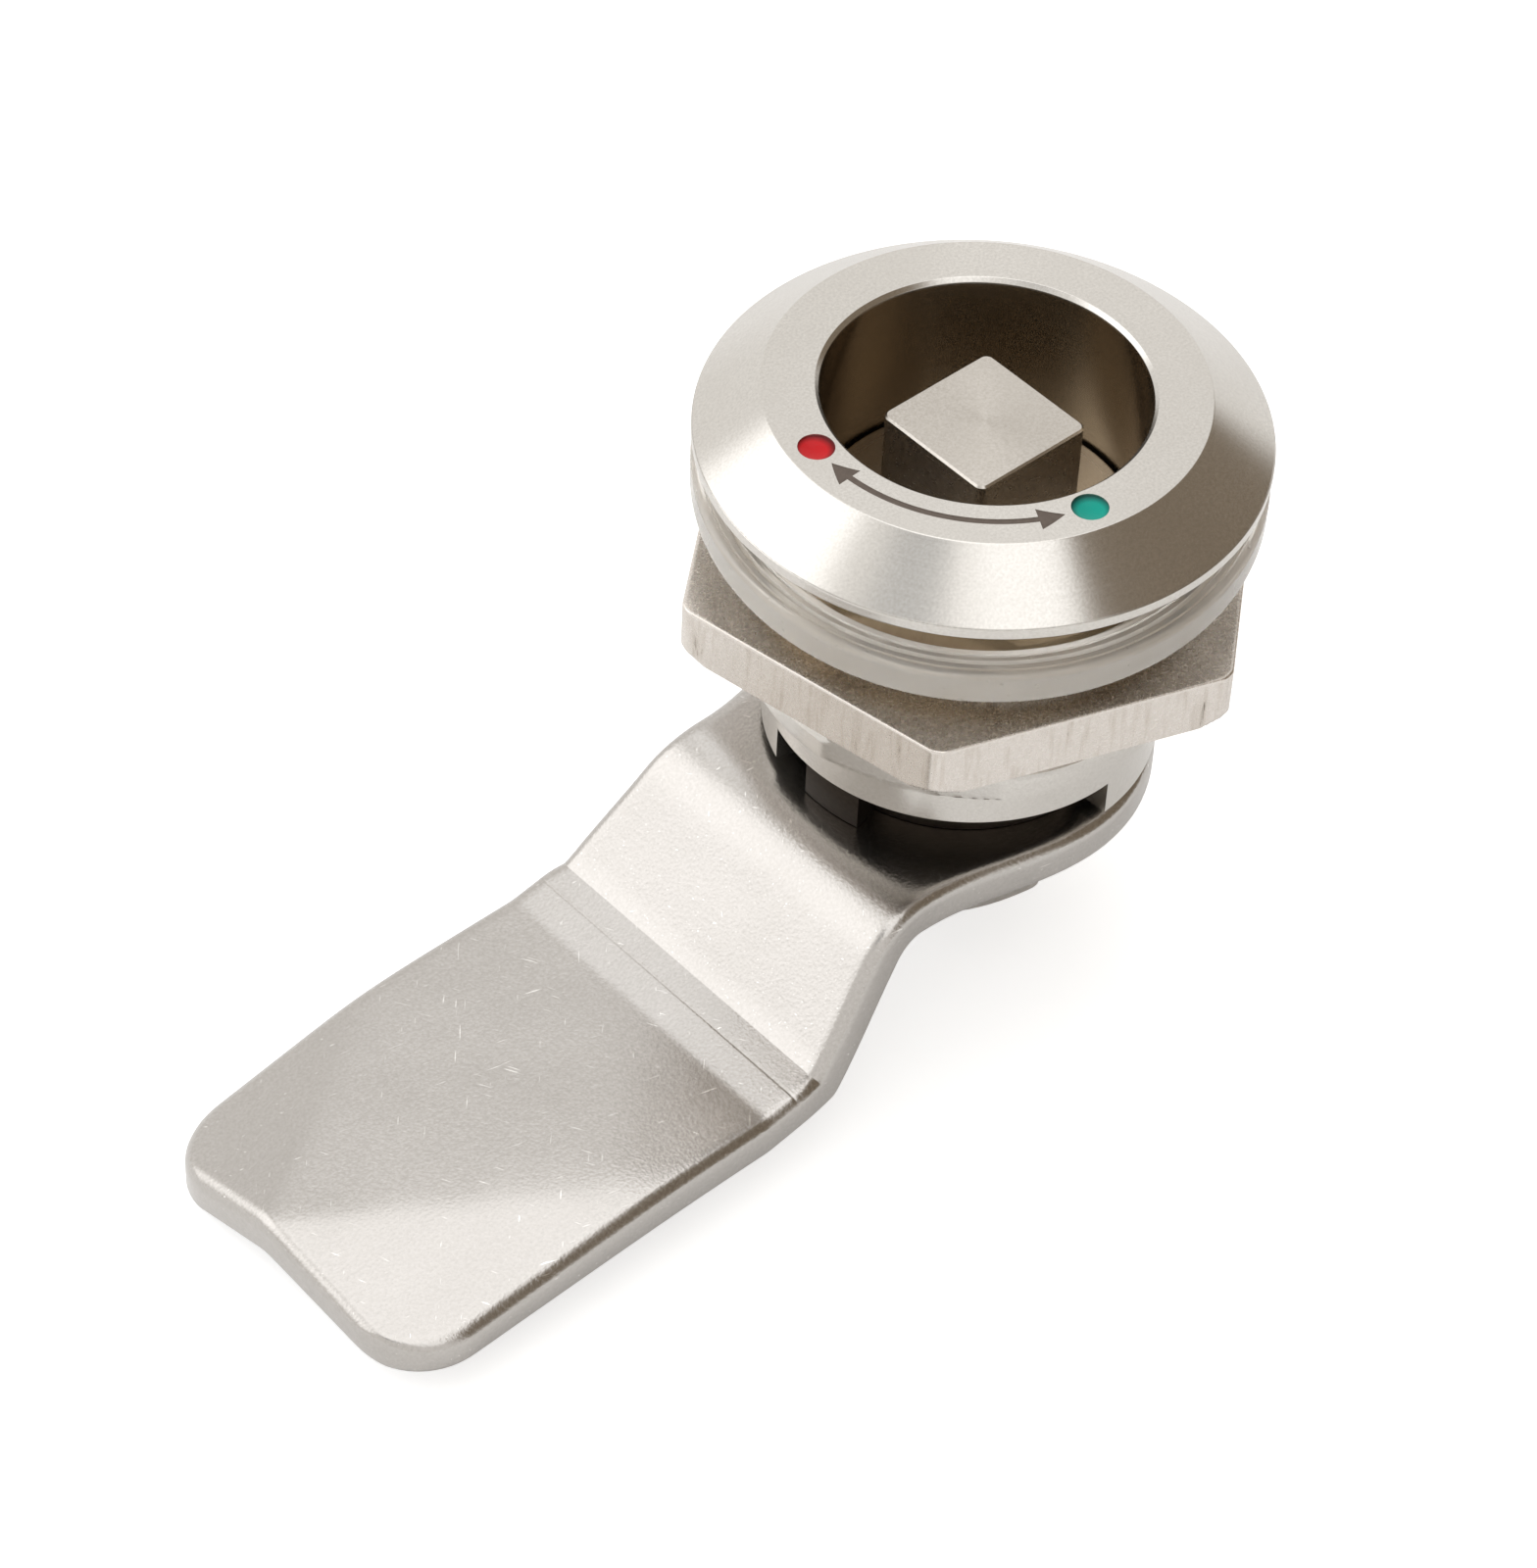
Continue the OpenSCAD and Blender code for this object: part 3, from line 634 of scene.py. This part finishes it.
# %% Dots and arrow
DISH = 0.14
plug_top = FACE_Z - 0.1
for name, turn, enamel_colour in zip(("red_dot", "green_dot"), TURN, (red_enamel, green_enamel)):
    plug = dot_hole(turn, FACE_Z - DOT_DEPTH, plug_top, dish=DISH)
    add_piece(name, [plug], enamel_colour, 50)
add_piece("arrow_inlay", [arrow_bar(FACE_Z - ARROW_DEPTH, FACE_Z - 0.03)], groove_ink)

# %% [markdown]
# ## The spindle
# The spindle carries the key square. It changes between square and round several times along its
# length, and it is still one grid: each row has a radius for every column, which is that of a
# square with turned-off corners or of a circle. The square's top has a small chamfer.

# %% Spindle
SQUARE_FLAT_R = 3.5
SQUARE_CORNER_R = 4.75
KEY_TOP_Z = box_mm("spindle")[1][2]
DRIVE_END_Z = box_mm("spindle")[0][2]
COLLAR_R = box_mm("spindle")[1][0]
KEY_CHAMFER = 0.1
STOP_TOP_Z = box_mm("stop_washer")[1][2]
CAM_TOP_Z = box_mm("cam")[1][2]
O_RING_Z = sum(box_mm("spindle_o_ring")[i][2] for i in (0, 1)) / 2
GROOVE_HALF = 0.95
GROOVE_R = SHAFT_R - 1.5
SCREW_BORE_R = 3.1
BORE_END_Z = box_mm("cam_screw")[1][2] + 0.6


def square_radius(angles, inset=0.0):
    """Radius of the square at each angle, drawn in by an inset."""
    return flat_sided(angles, 4, SQUARE_FLAT_R - inset, SQUARE_CORNER_R - inset, 45, 0.04)


def spindle_rows(angles):
    """Rows of the spindle, from the middle of the key square's top to the end of its bore."""
    top = KEY_TOP_Z
    rows = [(share * square_radius(angles, KEY_CHAMFER), top) for share in (0, 0.3, 0.6, 0.9)]
    rows.append((square_radius(angles, KEY_CHAMFER + 0.04), top))
    for turn in np.linspace(0, 1, 5):
        rows.append((square_radius(angles, KEY_CHAMFER * (1 - turn)), top - KEY_CHAMFER * turn))
    levels = [*np.linspace(top - KEY_CHAMFER - 0.05, COLLAR_TOP_Z + 0.05, 12), COLLAR_TOP_Z]
    rows += [(square_radius(angles), z) for z in levels]
    rows += rounded(
        [
            (SQUARE_CORNER_R + 0.1, COLLAR_TOP_Z, 0),
            (COLLAR_R, COLLAR_TOP_Z, 0.1),
            (COLLAR_R, SEAT_Z, 0.1),
            (SHAFT_R, SEAT_Z, 0.1),
            (SHAFT_R, O_RING_Z + GROOVE_HALF, 0.1),
            (GROOVE_R, O_RING_Z + GROOVE_HALF, 0.1),
            (GROOVE_R, O_RING_Z - GROOVE_HALF, 0.1),
            (SHAFT_R, O_RING_Z - GROOVE_HALF, 0.1),
            (SHAFT_R, STOP_TOP_Z, 0.05),
            (SQUARE_CORNER_R, STOP_TOP_Z, 0),
        ],
        steps=3,
    ).tolist()
    rows += [(square_radius(angles), z) for z in (STOP_TOP_Z, DRIVE_END_Z)]
    rows += [(SCREW_BORE_R, DRIVE_END_Z), (SCREW_BORE_R, BORE_END_Z), (0, BORE_END_Z)]
    return ring_rows(rows, angles)


add_piece("spindle", [spindle_rows(around())], spindle_steel)

# %% [markdown]
# The sealing ring lies in the spindle's groove and comes out flush with the shaft. It can't be
# seen from outside, and it is a plain ring with a round section.

# %% Sealing ring
CORD_R = 0.75
cord_angles = np.linspace(0, 2 * math.pi, 33)
cord = CORD_R * np.stack([np.cos(cord_angles), np.sin(cord_angles)], axis=1)
cord += (SHAFT_R - CORD_R, O_RING_Z)
add_piece("spindle_o_ring", [revolve(cord, around(181))], ring_rubber)

# %% [markdown]
# ## The panel nut
# The nut is a cast hexagon, 27 mm across its flats. It is again a grid round the axis: in its side
# rows the radius is that of the hexagon, held to a circle that rounds the corners, and near the
# lower edge also to a cone, which gives the curved chamfers on the corners. Its flats are drawn
# 0.2 mm further in than the CAD nut's, which leaves sharper corners in the same box. Pits and
# waves are in its plating.

# %% Panel nut
nut_low, nut_high = box_mm("hex_nut")
NUT_FLAT_R = 13.3
NUT_CORNER_R = 13.5 / math.cos(math.radians(30)) - 0.4
NUT_CHAMFER = (0.6, 0.45)
NUT_TURN = 40.2
NUT_BORE_R = BARREL_R + 0.1
NUT_BORE_BREAK = 0.3
NUT_EDGE_R = 0.12


def nut_rows(angles):
    """Rows of the nut: bore, top face, sides, underside and back to the bore."""
    hexagon = flat_sided(angles, 6, NUT_FLAT_R, NUT_CORNER_R, NUT_TURN, 0.03)
    low, high = nut_low[2], nut_high[2]
    bore_low, bore_high = low + NUT_BORE_BREAK, high - NUT_BORE_BREAK
    rows = [(NUT_BORE_R, bore_low), (NUT_BORE_R, bore_high)]
    rows += [(NUT_BORE_R + NUT_BORE_BREAK, high), (hexagon - 0.25, high)]
    for turn in np.linspace(0, math.pi / 2, 5):
        inset, drop = NUT_EDGE_R * (1 - math.sin(turn)), NUT_EDGE_R * (1 - math.cos(turn))
        rows.append((hexagon - inset, high - drop))
    for z in np.linspace(high - 0.2, low + 0.1, 28):
        cone = NUT_CORNER_R - NUT_CHAMFER[0] + (z - low) * NUT_CHAMFER[0] / NUT_CHAMFER[1]
        rows.append((soft_min(hexagon, cone, 0.04), z))
    foot_r = soft_min(hexagon, NUT_CORNER_R - NUT_CHAMFER[0], 0.04)
    rows += [(foot_r - 0.1, low), (foot_r - 0.2, low)]
    rows += [(NUT_BORE_R + NUT_BORE_BREAK, low), (NUT_BORE_R, bore_low)]
    return ring_rows(rows, angles)


add_piece("hex_nut", [nut_rows(around(721))], nut_nickel, 35)

# %% [markdown]
# ## The gasket
# The gasket is a moulded ring with a tall outer wall and a thin skirt. It hangs loosely on the
# barrel, so it is revolved flat and then tilted and shifted as it hangs. The fine rings on its top
# come from its mould.

# %% Gasket
GASKET_R = 14.0
GASKET_WALL_R = 12.2
GASKET_SKIRT_R = 11.5
GASKET_H = 1.9
SKIRT_T = 0.9
GASKET_TILT = 5.5
GASKET_LOW_AT = 44.0
GASKET_SHIFT = 0.25
GASKET_GAP = 0.1
GASKET_GROOVES = ((13.56, 13.49, 13.42, 0.12, 0.03), (13.17, 13.05, 12.92, 0.3, 0.04))
GASKET_GROOVES += ((12.7, 12.63, 12.56, 0.14, 0.03),)


def hang(points):
    """Tilts points towards GASKET_LOW_AT, shifts them the other way, and hangs them so that the
    high side is just under the head."""
    tilt, low_at = math.radians(GASKET_TILT), math.radians(GASKET_LOW_AT)
    down = np.array([math.cos(low_at), math.sin(low_at), 0])
    axis = np.array([-down[1], down[0], 0])
    dot = points @ axis
    turned = points * math.cos(tilt) + np.cross(axis, points) * math.sin(tilt)
    turned = turned + dot[..., None] * axis * (1 - math.cos(tilt))
    drop = -GASKET_GAP - GASKET_R * math.sin(tilt)
    return turned + np.array([0, 0, drop]) - down * GASKET_SHIFT


def gasket_profile():
    """Closed section of the gasket, with its top at height 0. Each groove in the top has an outer
    radius, the radius and depth of its bottom, an inner radius, and a rounding at the bottom."""
    corners = [(GASKET_SKIRT_R, -GASKET_H, 0.1), (GASKET_R, -GASKET_H, 0.3), (GASKET_R, 0, 0.3)]
    for outer, middle, inner, depth, soft in GASKET_GROOVES:
        corners += [(outer, 0, 0.03), (middle, -depth, soft), (inner, 0, 0.03)]
    corners += [
        (GASKET_WALL_R, 0, 0.15),
        (GASKET_WALL_R, -GASKET_H + SKIRT_T, 0.15),
        (GASKET_SKIRT_R, -GASKET_H + SKIRT_T, 0.1),
    ]
    return rounded(corners, steps=4, support=0.01, closed=True)


add_piece("panel_gasket", [hang(revolve(gasket_profile(), around(241)))], gasket_rubber)

# %% [markdown]
# ## The cam
# The cam is pressed from 2.5 mm sheet: a round end on the square, a flange, a crank down, and a
# blade whose tip falls away past two creases that meet at its end, to lead in behind the door's
# frame. It is a plate section carried along the crank's line. The section's width follows
# the outline, its edges are rounded by the press, and its height at each point across gives the
# facets their fall.

# %% Cam sizes and path
cam_low, cam_high = box_mm("cam")
CAM_T = 2.5
HALF_T = CAM_T / 2
END_R = -cam_low[0]
REACH = cam_high[0]
CRANK = 6.9
BEND_X = 10.0
BEND = math.radians(48)
DOWN_R = 5.0 - HALF_T
LEVEL_R = 1.5 + HALF_T
NECK_HALF = 8.4
BLADE_HALF = 9.9
TIP_R = 4.0
TIP_X = REACH - TIP_R
EDGE_R = 0.7
CREASE_Y = -1.0
LEFT_LEAD = (13.5, 0.3)
RIGHT_LEAD = (17.5, 0.12)
RIGHT_UNDER_FALL = 0.07
CREASE_SOFT = (0.2, 0.05)
DIE_LINE_X, DIE_LINE_DEPTH, DIE_LINE_W = 19.35, 0.02, 0.06
FOOT_END_X = 21.2
FOOT_SLOPE = 0.19
FOOT_SOFT = (0.012, 0.03)
FLAT_Z = cam_high[2] - HALF_T
BLADE_Z = FLAT_Z - CRANK
SLOPE_L = (CRANK - (DOWN_R + LEVEL_R) * (1 - math.cos(BEND))) / math.sin(BEND)
LEVEL_X = BEND_X + (DOWN_R + LEVEL_R) * math.sin(BEND) + SLOPE_L * math.cos(BEND)


def cam_path():
    """Stations along the plate's middle: x, z and how far the plate leans there."""
    quarter = np.linspace(0, math.pi / 2, 28)
    bend = np.linspace(0, BEND, 13)
    slope = np.linspace(0, 1, 10)[1:-1]
    start = BEND_X + DOWN_R * math.sin(BEND), FLAT_Z - DOWN_R * (1 - math.cos(BEND))
    end = LEVEL_X - LEVEL_R * math.sin(BEND), BLADE_Z + LEVEL_R * (1 - math.cos(BEND))
    flange = np.linspace(0, BEND_X, 14)[1:-1]
    die_line = DIE_LINE_X + np.linspace(-0.16, 0.16, 9)
    blade = np.concatenate([die_line, np.linspace(DIE_LINE_X + 0.3, TIP_X, 125)])
    tip = TIP_X + TIP_R * np.sin(quarter[1:])
    x = [-END_R * np.cos(quarter), flange, BEND_X + DOWN_R * np.sin(bend)]
    z = [np.full(28, FLAT_Z), np.full(12, FLAT_Z), FLAT_Z - DOWN_R * (1 - np.cos(bend))]
    lean = [np.zeros(40), bend]
    x += [start[0] + (end[0] - start[0]) * slope, LEVEL_X - LEVEL_R * np.sin(bend[::-1]), blade, tip]
    z += [start[1] + (end[1] - start[1]) * slope, BLADE_Z + LEVEL_R * (1 - np.cos(bend[::-1]))]
    z += [np.full(len(blade) + len(tip), BLADE_Z)]
    lean += [np.full(len(slope), BEND), bend[::-1], np.zeros(len(blade) + len(tip))]
    return np.concatenate(x), np.concatenate(z), np.concatenate(lean)


# %% [markdown]
# The width, the two creases and the foot of the crank are functions of the place on the plate.
# The section is built from them, once for each station of the path. At the foot the plate comes
# down in a short straight ramp, with the shallow line that the press left across it.

# %% Cam surface


def ease(share):
    """Soft step from 0 to 1."""
    return (1 - np.cos(math.pi * np.clip(share, 0, 1))) / 2


def half_width(x):
    """Half of the plate's width: round end, neck, blade, and rounded tip corners."""
    round_end = np.sqrt(np.clip(END_R**2 - x**2, 0, None))
    neck = END_R + (NECK_HALF - END_R) * ease(x / BEND_X)
    blade = NECK_HALF + (BLADE_HALF - NECK_HALF) * ease((x - BEND_X) / (LEVEL_X - BEND_X))
    corner = BLADE_HALF - TIP_R + np.sqrt(np.clip(TIP_R**2 - np.clip(x - TIP_X, 0, None) ** 2, 0, None))
    body = np.where(x < BEND_X, neck, np.minimum(blade, corner))
    return np.where(x < 0, round_end, body)


def creases(x):
    """Where the two creases cross the plate: they spread from CREASE_Y at the tip to its edges."""
    back = np.clip(REACH - x, 0, None)
    left = CREASE_Y - (BLADE_HALF + CREASE_Y) * back / LEFT_LEAD[0]
    right = CREASE_Y + (BLADE_HALF - CREASE_Y) * back / RIGHT_LEAD[0]
    return left, right


def fall(x, y, right_fall):
    """How far the facets have dropped at a point of the blade: slope times the distance past the
    crease. Each crease is rounded over a width that grows with the distance from the tip."""
    left, right = creases(x)
    soft = CREASE_SOFT[0] + CREASE_SOFT[1] * np.clip(REACH - x, 0, None)
    past_left = soft * np.logaddexp(0, (left - y) / soft)
    past_right = soft * np.logaddexp(0, (y - right) / soft)
    return LEFT_LEAD[1] * past_left + right_fall * past_right


def foot(x, above):
    """How far the plate is lifted at the crank's foot. Its height above the blade's level becomes
    the larger of above and a straight slope that ends at FOOT_END_X, with a soft corner."""
    ramp = FOOT_SLOPE * (FOOT_END_X - x)
    ramp = FOOT_SOFT[0] * np.logaddexp(0, ramp / FOOT_SOFT[0])
    return -soft_min(-above, -ramp, FOOT_SOFT[1]) - above


def cam_grid(across=61, corner=6):
    """The plate's section carried along its path. In each section the upper line runs from edge
    to edge with a point on either crease, the edges are quarter arcs, and the lower line runs
    back. At the tip the section closes to a line."""
    x, z, lean = cam_path()
    half = half_width(x)
    edge = np.minimum(EDGE_R, half)
    inside = np.clip(np.minimum(x + END_R, REACH - x), 0, EDGE_R)
    thick = HALF_T - EDGE_R + np.sqrt(EDGE_R**2 - (EDGE_R - inside) ** 2)
    left, right = creases(x)
    limit = (half - edge)[:, None]
    spread = np.linspace(-1, 1, across) * limit
    line = np.sort(np.hstack([spread, np.clip(np.stack([left, right], axis=1), -limit, limit)]), axis=1)
    turn = np.linspace(0, math.pi / 2, corner)
    out = limit + edge[:, None] * np.sin(turn)
    rise = thick[:, None] - np.minimum(edge, thick)[:, None] * (1 - np.cos(turn))
    top = np.broadcast_to(thick[:, None], line.shape)
    y = np.hstack([line, out, out[:, ::-1], line[:, ::-1], -out, -out[:, ::-1], line[:, :1]])
    h = np.hstack([top, rise, -rise[:, ::-1], -top, -rise, rise[:, ::-1], top[:, :1]])
    h = np.vstack([h, np.zeros((1, h.shape[1]))])
    y = np.vstack([y, y[-1:]])
    x, z, lean = (np.append(values, values[-1])[:, None] for values in (x, z, lean))
    points_x = x + h * np.sin(lean)
    upper = (h + HALF_T) / CAM_T
    drop = upper * fall(x, y, RIGHT_LEAD[1]) + (1 - upper) * fall(x, y, RIGHT_UNDER_FALL)
    drop += DIE_LINE_DEPTH * upper**8 * np.exp(-(((x - DIE_LINE_X) / DIE_LINE_W) ** 2))
    above = z + h * np.cos(lean) - h - BLADE_Z
    points_z = z + h * np.cos(lean) - drop + foot(points_x, above)
    return np.stack([points_x, y, points_z], axis=-1)


def square_block(half_side, low, high):
    """A square block on the axis, used to cut a square hole."""
    angles = np.radians([45, 135, 225, 315, 405])
    corner = half_side * math.sqrt(2)
    return ring_rows([(0, high), (corner, high), (corner, low), (0, low)], angles)


cam = add_piece("cam", [cam_grid()], cam_nickel, 25)
carve(cam, [square_block(SQUARE_FLAT_R + 0.1, cam_high[2] - CAM_T - 1, cam_high[2] + 1)], sharp_deg=25)

# %% [markdown]
# ## Stop washer, washers and screw
# Between the housing and the cam sits a washer with one tab, which meets the ends of the gap in
# the stop ring. Under the cam a plain washer, a split spring washer and a hexagon screw hold the
# stack on the spindle. Each is a row grid or a short sweep of its own section.

# %% Stop washer
STOP_DISC_R = 8.0
TAB_R = box_mm("stop_washer")[1][0]
TAB_HALF = 10.5
TAB_MID = 37.0 - TURN_MID


def stop_washer_rows():
    """Rows of the washer. The tab's sides are two columns at one angle with different radii."""
    edge = np.repeat([TAB_MID - TAB_HALF, TAB_MID + TAB_HALF], 2)
    inner = np.linspace(edge[0], edge[-1], 22)[1:-1]
    outer = np.linspace(edge[-1], edge[0] + 360, 200)[1:-1]
    angles = np.concatenate([edge[:2], inner, edge[2:], outer, edge[:1]])
    radius = np.full(len(angles), STOP_DISC_R)
    radius[1 : 3 + len(inner)] = TAB_R
    angles = np.radians(angles)
    hole = flat_sided(angles, 4, SQUARE_FLAT_R + 0.1, 99.0, 45, 0.01)
    low, high = CAM_TOP_Z, STOP_TOP_Z
    soft = 0.15
    near = soft * 0.3
    upper = [(hole, high), (radius - soft, high), (radius - near, high - near), (radius, high - soft)]
    lower = [(radius, low + soft), (radius - near, low + near), (radius - soft, low), (hole, low)]
    return ring_rows([*upper, *lower, (hole, high)], angles)


add_piece("stop_washer", [stop_washer_rows()], dark_steel)

# %% [markdown]
# The two washers share one section with soft edges. The plain one is revolved, and the split one
# is swept from one side of its slit round to the other. The screw is a row grid like the nut.

# %% Washers and screw
SCREW_SEAT_Z = box_mm("spring_washer")[0][2]
screw_low, screw_high = box_mm("cam_screw")
SCREW_FLAT_R = 5.0
SCREW_R = 3.0
SCREW_THREAD_DEPTH = 0.5
SCREW_CHAMFER_H = 0.8


def washer(node, radius, soft):
    """Closed ring section of a washer with soft edges."""
    low, high = box_mm(node)
    corners = [(SCREW_BORE_R, low[2], soft), (radius, low[2], soft), (radius, high[2], soft)]
    corners += [(SCREW_BORE_R, high[2], soft)]
    return rounded(corners, steps=3, support=0.02, closed=True)


add_piece("plain_washer", [revolve(washer("plain_washer", 6.0, 0.15))], small_nickel)

split_deg = math.degrees(0.45 / 4.2)
spring_turn = around(180, 180 + split_deg, 540 - split_deg)
spring_rings = np.swapaxes(revolve(washer("spring_washer", 5.38, 0.12), spring_turn), 0, 1)
add_piece("spring_washer", [closed_sweep(spring_rings)], small_nickel)


def screw_rows(angles):
    """Rows of the screw: the hexagon head with its chamfered end, and the threaded shank."""
    corner_r = SCREW_FLAT_R / math.cos(math.radians(30)) - 0.1
    hexagon = flat_sided(angles, 6, SCREW_FLAT_R, corner_r, NUT_TURN, 0.04)
    low, high, seat = screw_low[2], screw_high[2], SCREW_SEAT_Z
    rows = [(0.0, low), (SCREW_FLAT_R - 0.3, low)]
    for z in np.linspace(low, low + SCREW_CHAMFER_H, 16):
        cone = SCREW_FLAT_R - 0.2 + (z - low) / math.tan(math.radians(30))
        rows.append((soft_min(hexagon, cone, 0.03), z))
    rows += [(hexagon, seat - 0.05), (hexagon - 0.05, seat), (SCREW_R, seat)]
    for z in np.linspace(seat, high - 0.4, 80):
        phase = (z + angles / (2 * math.pi)) % 1.0
        rows.append((SCREW_R - 0.02 - SCREW_THREAD_DEPTH * (1 - thread_share(phase)), z))
    return ring_rows([*rows, (2.4, high), (0.0, high)], angles)


add_piece("cam_screw", [screw_rows(around())], small_nickel)

# %% [markdown]
# ## Camera
# The camera was found from the photograph by fitting the circles of the head and the well, the
# hexagon and the blade. It stands 250 mm away, looks down at about 46 degrees, and is rolled by
# three degrees, as a hand-held shot is.

# %% Camera
TARGET = Vector((16.33, 3.43, -10.40)) * MM
DISTANCE = 250.0 * MM
AZIMUTH = math.radians(136.0)
ELEVATION = math.radians(45.63)
ROLL = math.radians(3.06)
back = Vector(
    (
        math.sin(AZIMUTH) * math.cos(ELEVATION),
        -math.cos(AZIMUTH) * math.cos(ELEVATION),
        math.sin(ELEVATION),
    )
)
camera = bpy.data.objects.new("camera", bpy.data.cameras.new("camera"))
bpy.context.scene.collection.objects.link(camera)
camera.rotation_mode = "QUATERNION"
camera.location = TARGET + back * DISTANCE
camera.rotation_quaternion = (-back).to_track_quat("-Z", "Y") @ Quaternion((0, 0, 1), ROLL)
camera.data.lens = 120.9
camera.data.sensor_width = 36.0
camera.data.clip_start, camera.data.clip_end = 0.01, 10.0
bpy.context.scene.camera = camera
print("camera at", [round(value / MM, 2) for value in camera.location])

# %% [markdown]
# ## Floor
# A pale sheet of paper carries the lock. Rays from the camera and through glass see it as plain
# white with the lock's soft shadow on it, mirror rays see a little of that glow, and to other rays
# it is a pale floor that throws back its share of light. So the background is white without more
# light on the lock.

# %% Floor
FLOOR_Z = cam_low[2] - 0.1
FLOOR_HALF = 900.0
FLOOR_GLOW = 0.6
MIRROR_SHARE = 0.25


def floor_paper(name):
    """Matt pale paper that looks white to camera and glass rays, and a little brighter than it is
    to mirror rays."""
    material, tree, shader = new_finish(name, Roughness=0.9, Base_Color=linear("#dedede"))
    path = add_node(tree, "ShaderNodeLightPath")
    inputs = {0: path.outputs["Is Camera Ray"], 1: path.outputs["Is Transmission Ray"]}
    seen = add_node(tree, "ShaderNodeMath", inputs, operation="MAXIMUM")
    inputs = {0: path.outputs["Is Glossy Ray"], 1: MIRROR_SHARE}
    mirrored = add_node(tree, "ShaderNodeMath", inputs, operation="MULTIPLY")
    seen = add_node(tree, "ShaderNodeMath", {0: seen, 1: mirrored}, operation="MAXIMUM")
    glow = add_node(tree, "ShaderNodeMath", {0: seen, 1: FLOOR_GLOW}, operation="MULTIPLY")
    set_inputs(tree, shader, {"Emission Color": (1, 1, 1, 1), "Emission Strength": glow})
    return material


corner = np.array([-FLOOR_HALF, FLOOR_HALF])
floor_x, floor_y = np.meshgrid(corner, corner, indexing="ij")
floor_points = np.stack([floor_x, floor_y, np.full((2, 2), FLOOR_Z)], axis=-1)
floor = bpy.data.objects.new("floor", make_mesh("floor", [floor_points]))
floor.data.materials.append(floor_paper("matt white paper"))
bpy.context.scene.collection.objects.link(floor)
print("floor at %.2f mm" % FLOOR_Z)

# %% [markdown]
# ## Light
# Bright metal shows the room more than its own colour. The studio is a white tent: even light from
# all sides, a softbox on the left, one overhead with two small ones beside it, and a brown gap on
# the right where the room shows. The world is built from its directions: a base value, and a few
# soft-edged patches that are brighter or darker. One large lamp, which mirrors don't see, gives
# the shadow.

# %% World with soft patches
PATCHES = (
    # direction, inner angle, outer angle, colour, strength
    ((0.527, -0.628, 0.574), 17, 32, "#ffffff", 1.95),
    ((-0.150, 0.087, 0.985), 29, 37.5, "#ffffff", 1.8),
    ((-0.695, 0.486, 0.530), 34, 48, "#8b7e6e", 1.0),
    ((0.504, 0.107, 0.857), 4, 14, "#ffffff", 0.55),
    ((0.146, 0.478, 0.866), 9, 17, "#ffffff", 1.65),
    ((-0.182, -0.503, 0.845), 4, 12, "#ffffff", 1.4),
)


def studio_world():
    """World whose colour depends on the direction: patch after patch is mixed over a base."""
    world = bpy.data.worlds.new("studio")
    world.use_nodes = True
    tree = world.node_tree
    tree.nodes.clear()
    direction = add_node(tree, "ShaderNodeTexCoord").outputs["Generated"]
    colour = add_node(tree, "ShaderNodeRGB").outputs[0]
    colour.default_value = linear("#fffdfa")
    for aim, inner, outer, patch, strength in PATCHES:
        aim = Vector(aim).normalized()
        near = add_node(tree, "ShaderNodeVectorMath", {0: direction, 1: aim}, operation="DOT_PRODUCT")
        share = {"Value": near.outputs["Value"]}
        share["From Min"] = math.cos(math.radians(outer))
        share["From Max"] = math.cos(math.radians(inner))
        share = add_node(tree, "ShaderNodeMapRange", share, interpolation_type="SMOOTHSTEP")
        shown = tuple(value * strength for value in linear(patch)[:3]) + (1.0,)
        colour = tone(tree, share, colour, shown)
    path = add_node(tree, "ShaderNodeLightPath").outputs["Is Camera Ray"]
    colour = tone(tree, path, colour, (1, 1, 1, 1))
    sky = add_node(tree, "ShaderNodeBackground", {"Color": colour, "Strength": 1.0})
    add_node(tree, "ShaderNodeOutputWorld", {"Surface": sky})
    return world


bpy.context.scene.world = studio_world()


def add_lamp(name, place, size, watts):
    """A square area lamp at a place in millimetres, aimed at the lock."""
    lamp = bpy.data.lights.new(name, "AREA")
    lamp.size = size * MM
    lamp.energy = watts
    thing = bpy.data.objects.new(name, lamp)
    bpy.context.scene.collection.objects.link(thing)
    thing.location = Vector(place) * MM
    thing.rotation_mode = "QUATERNION"
    thing.rotation_quaternion = (TARGET - thing.location).to_track_quat("-Z", "Y")
    thing.visible_glossy = False
    print("lamp", name, "at", place)


add_lamp("key", (120, -260, 420), 260, 0.5)

# %% [markdown]
# ## Finish
# The view transform is plain sRGB, so colours come out as written.

# %% View transform
bpy.context.scene.view_settings.view_transform = "Standard"
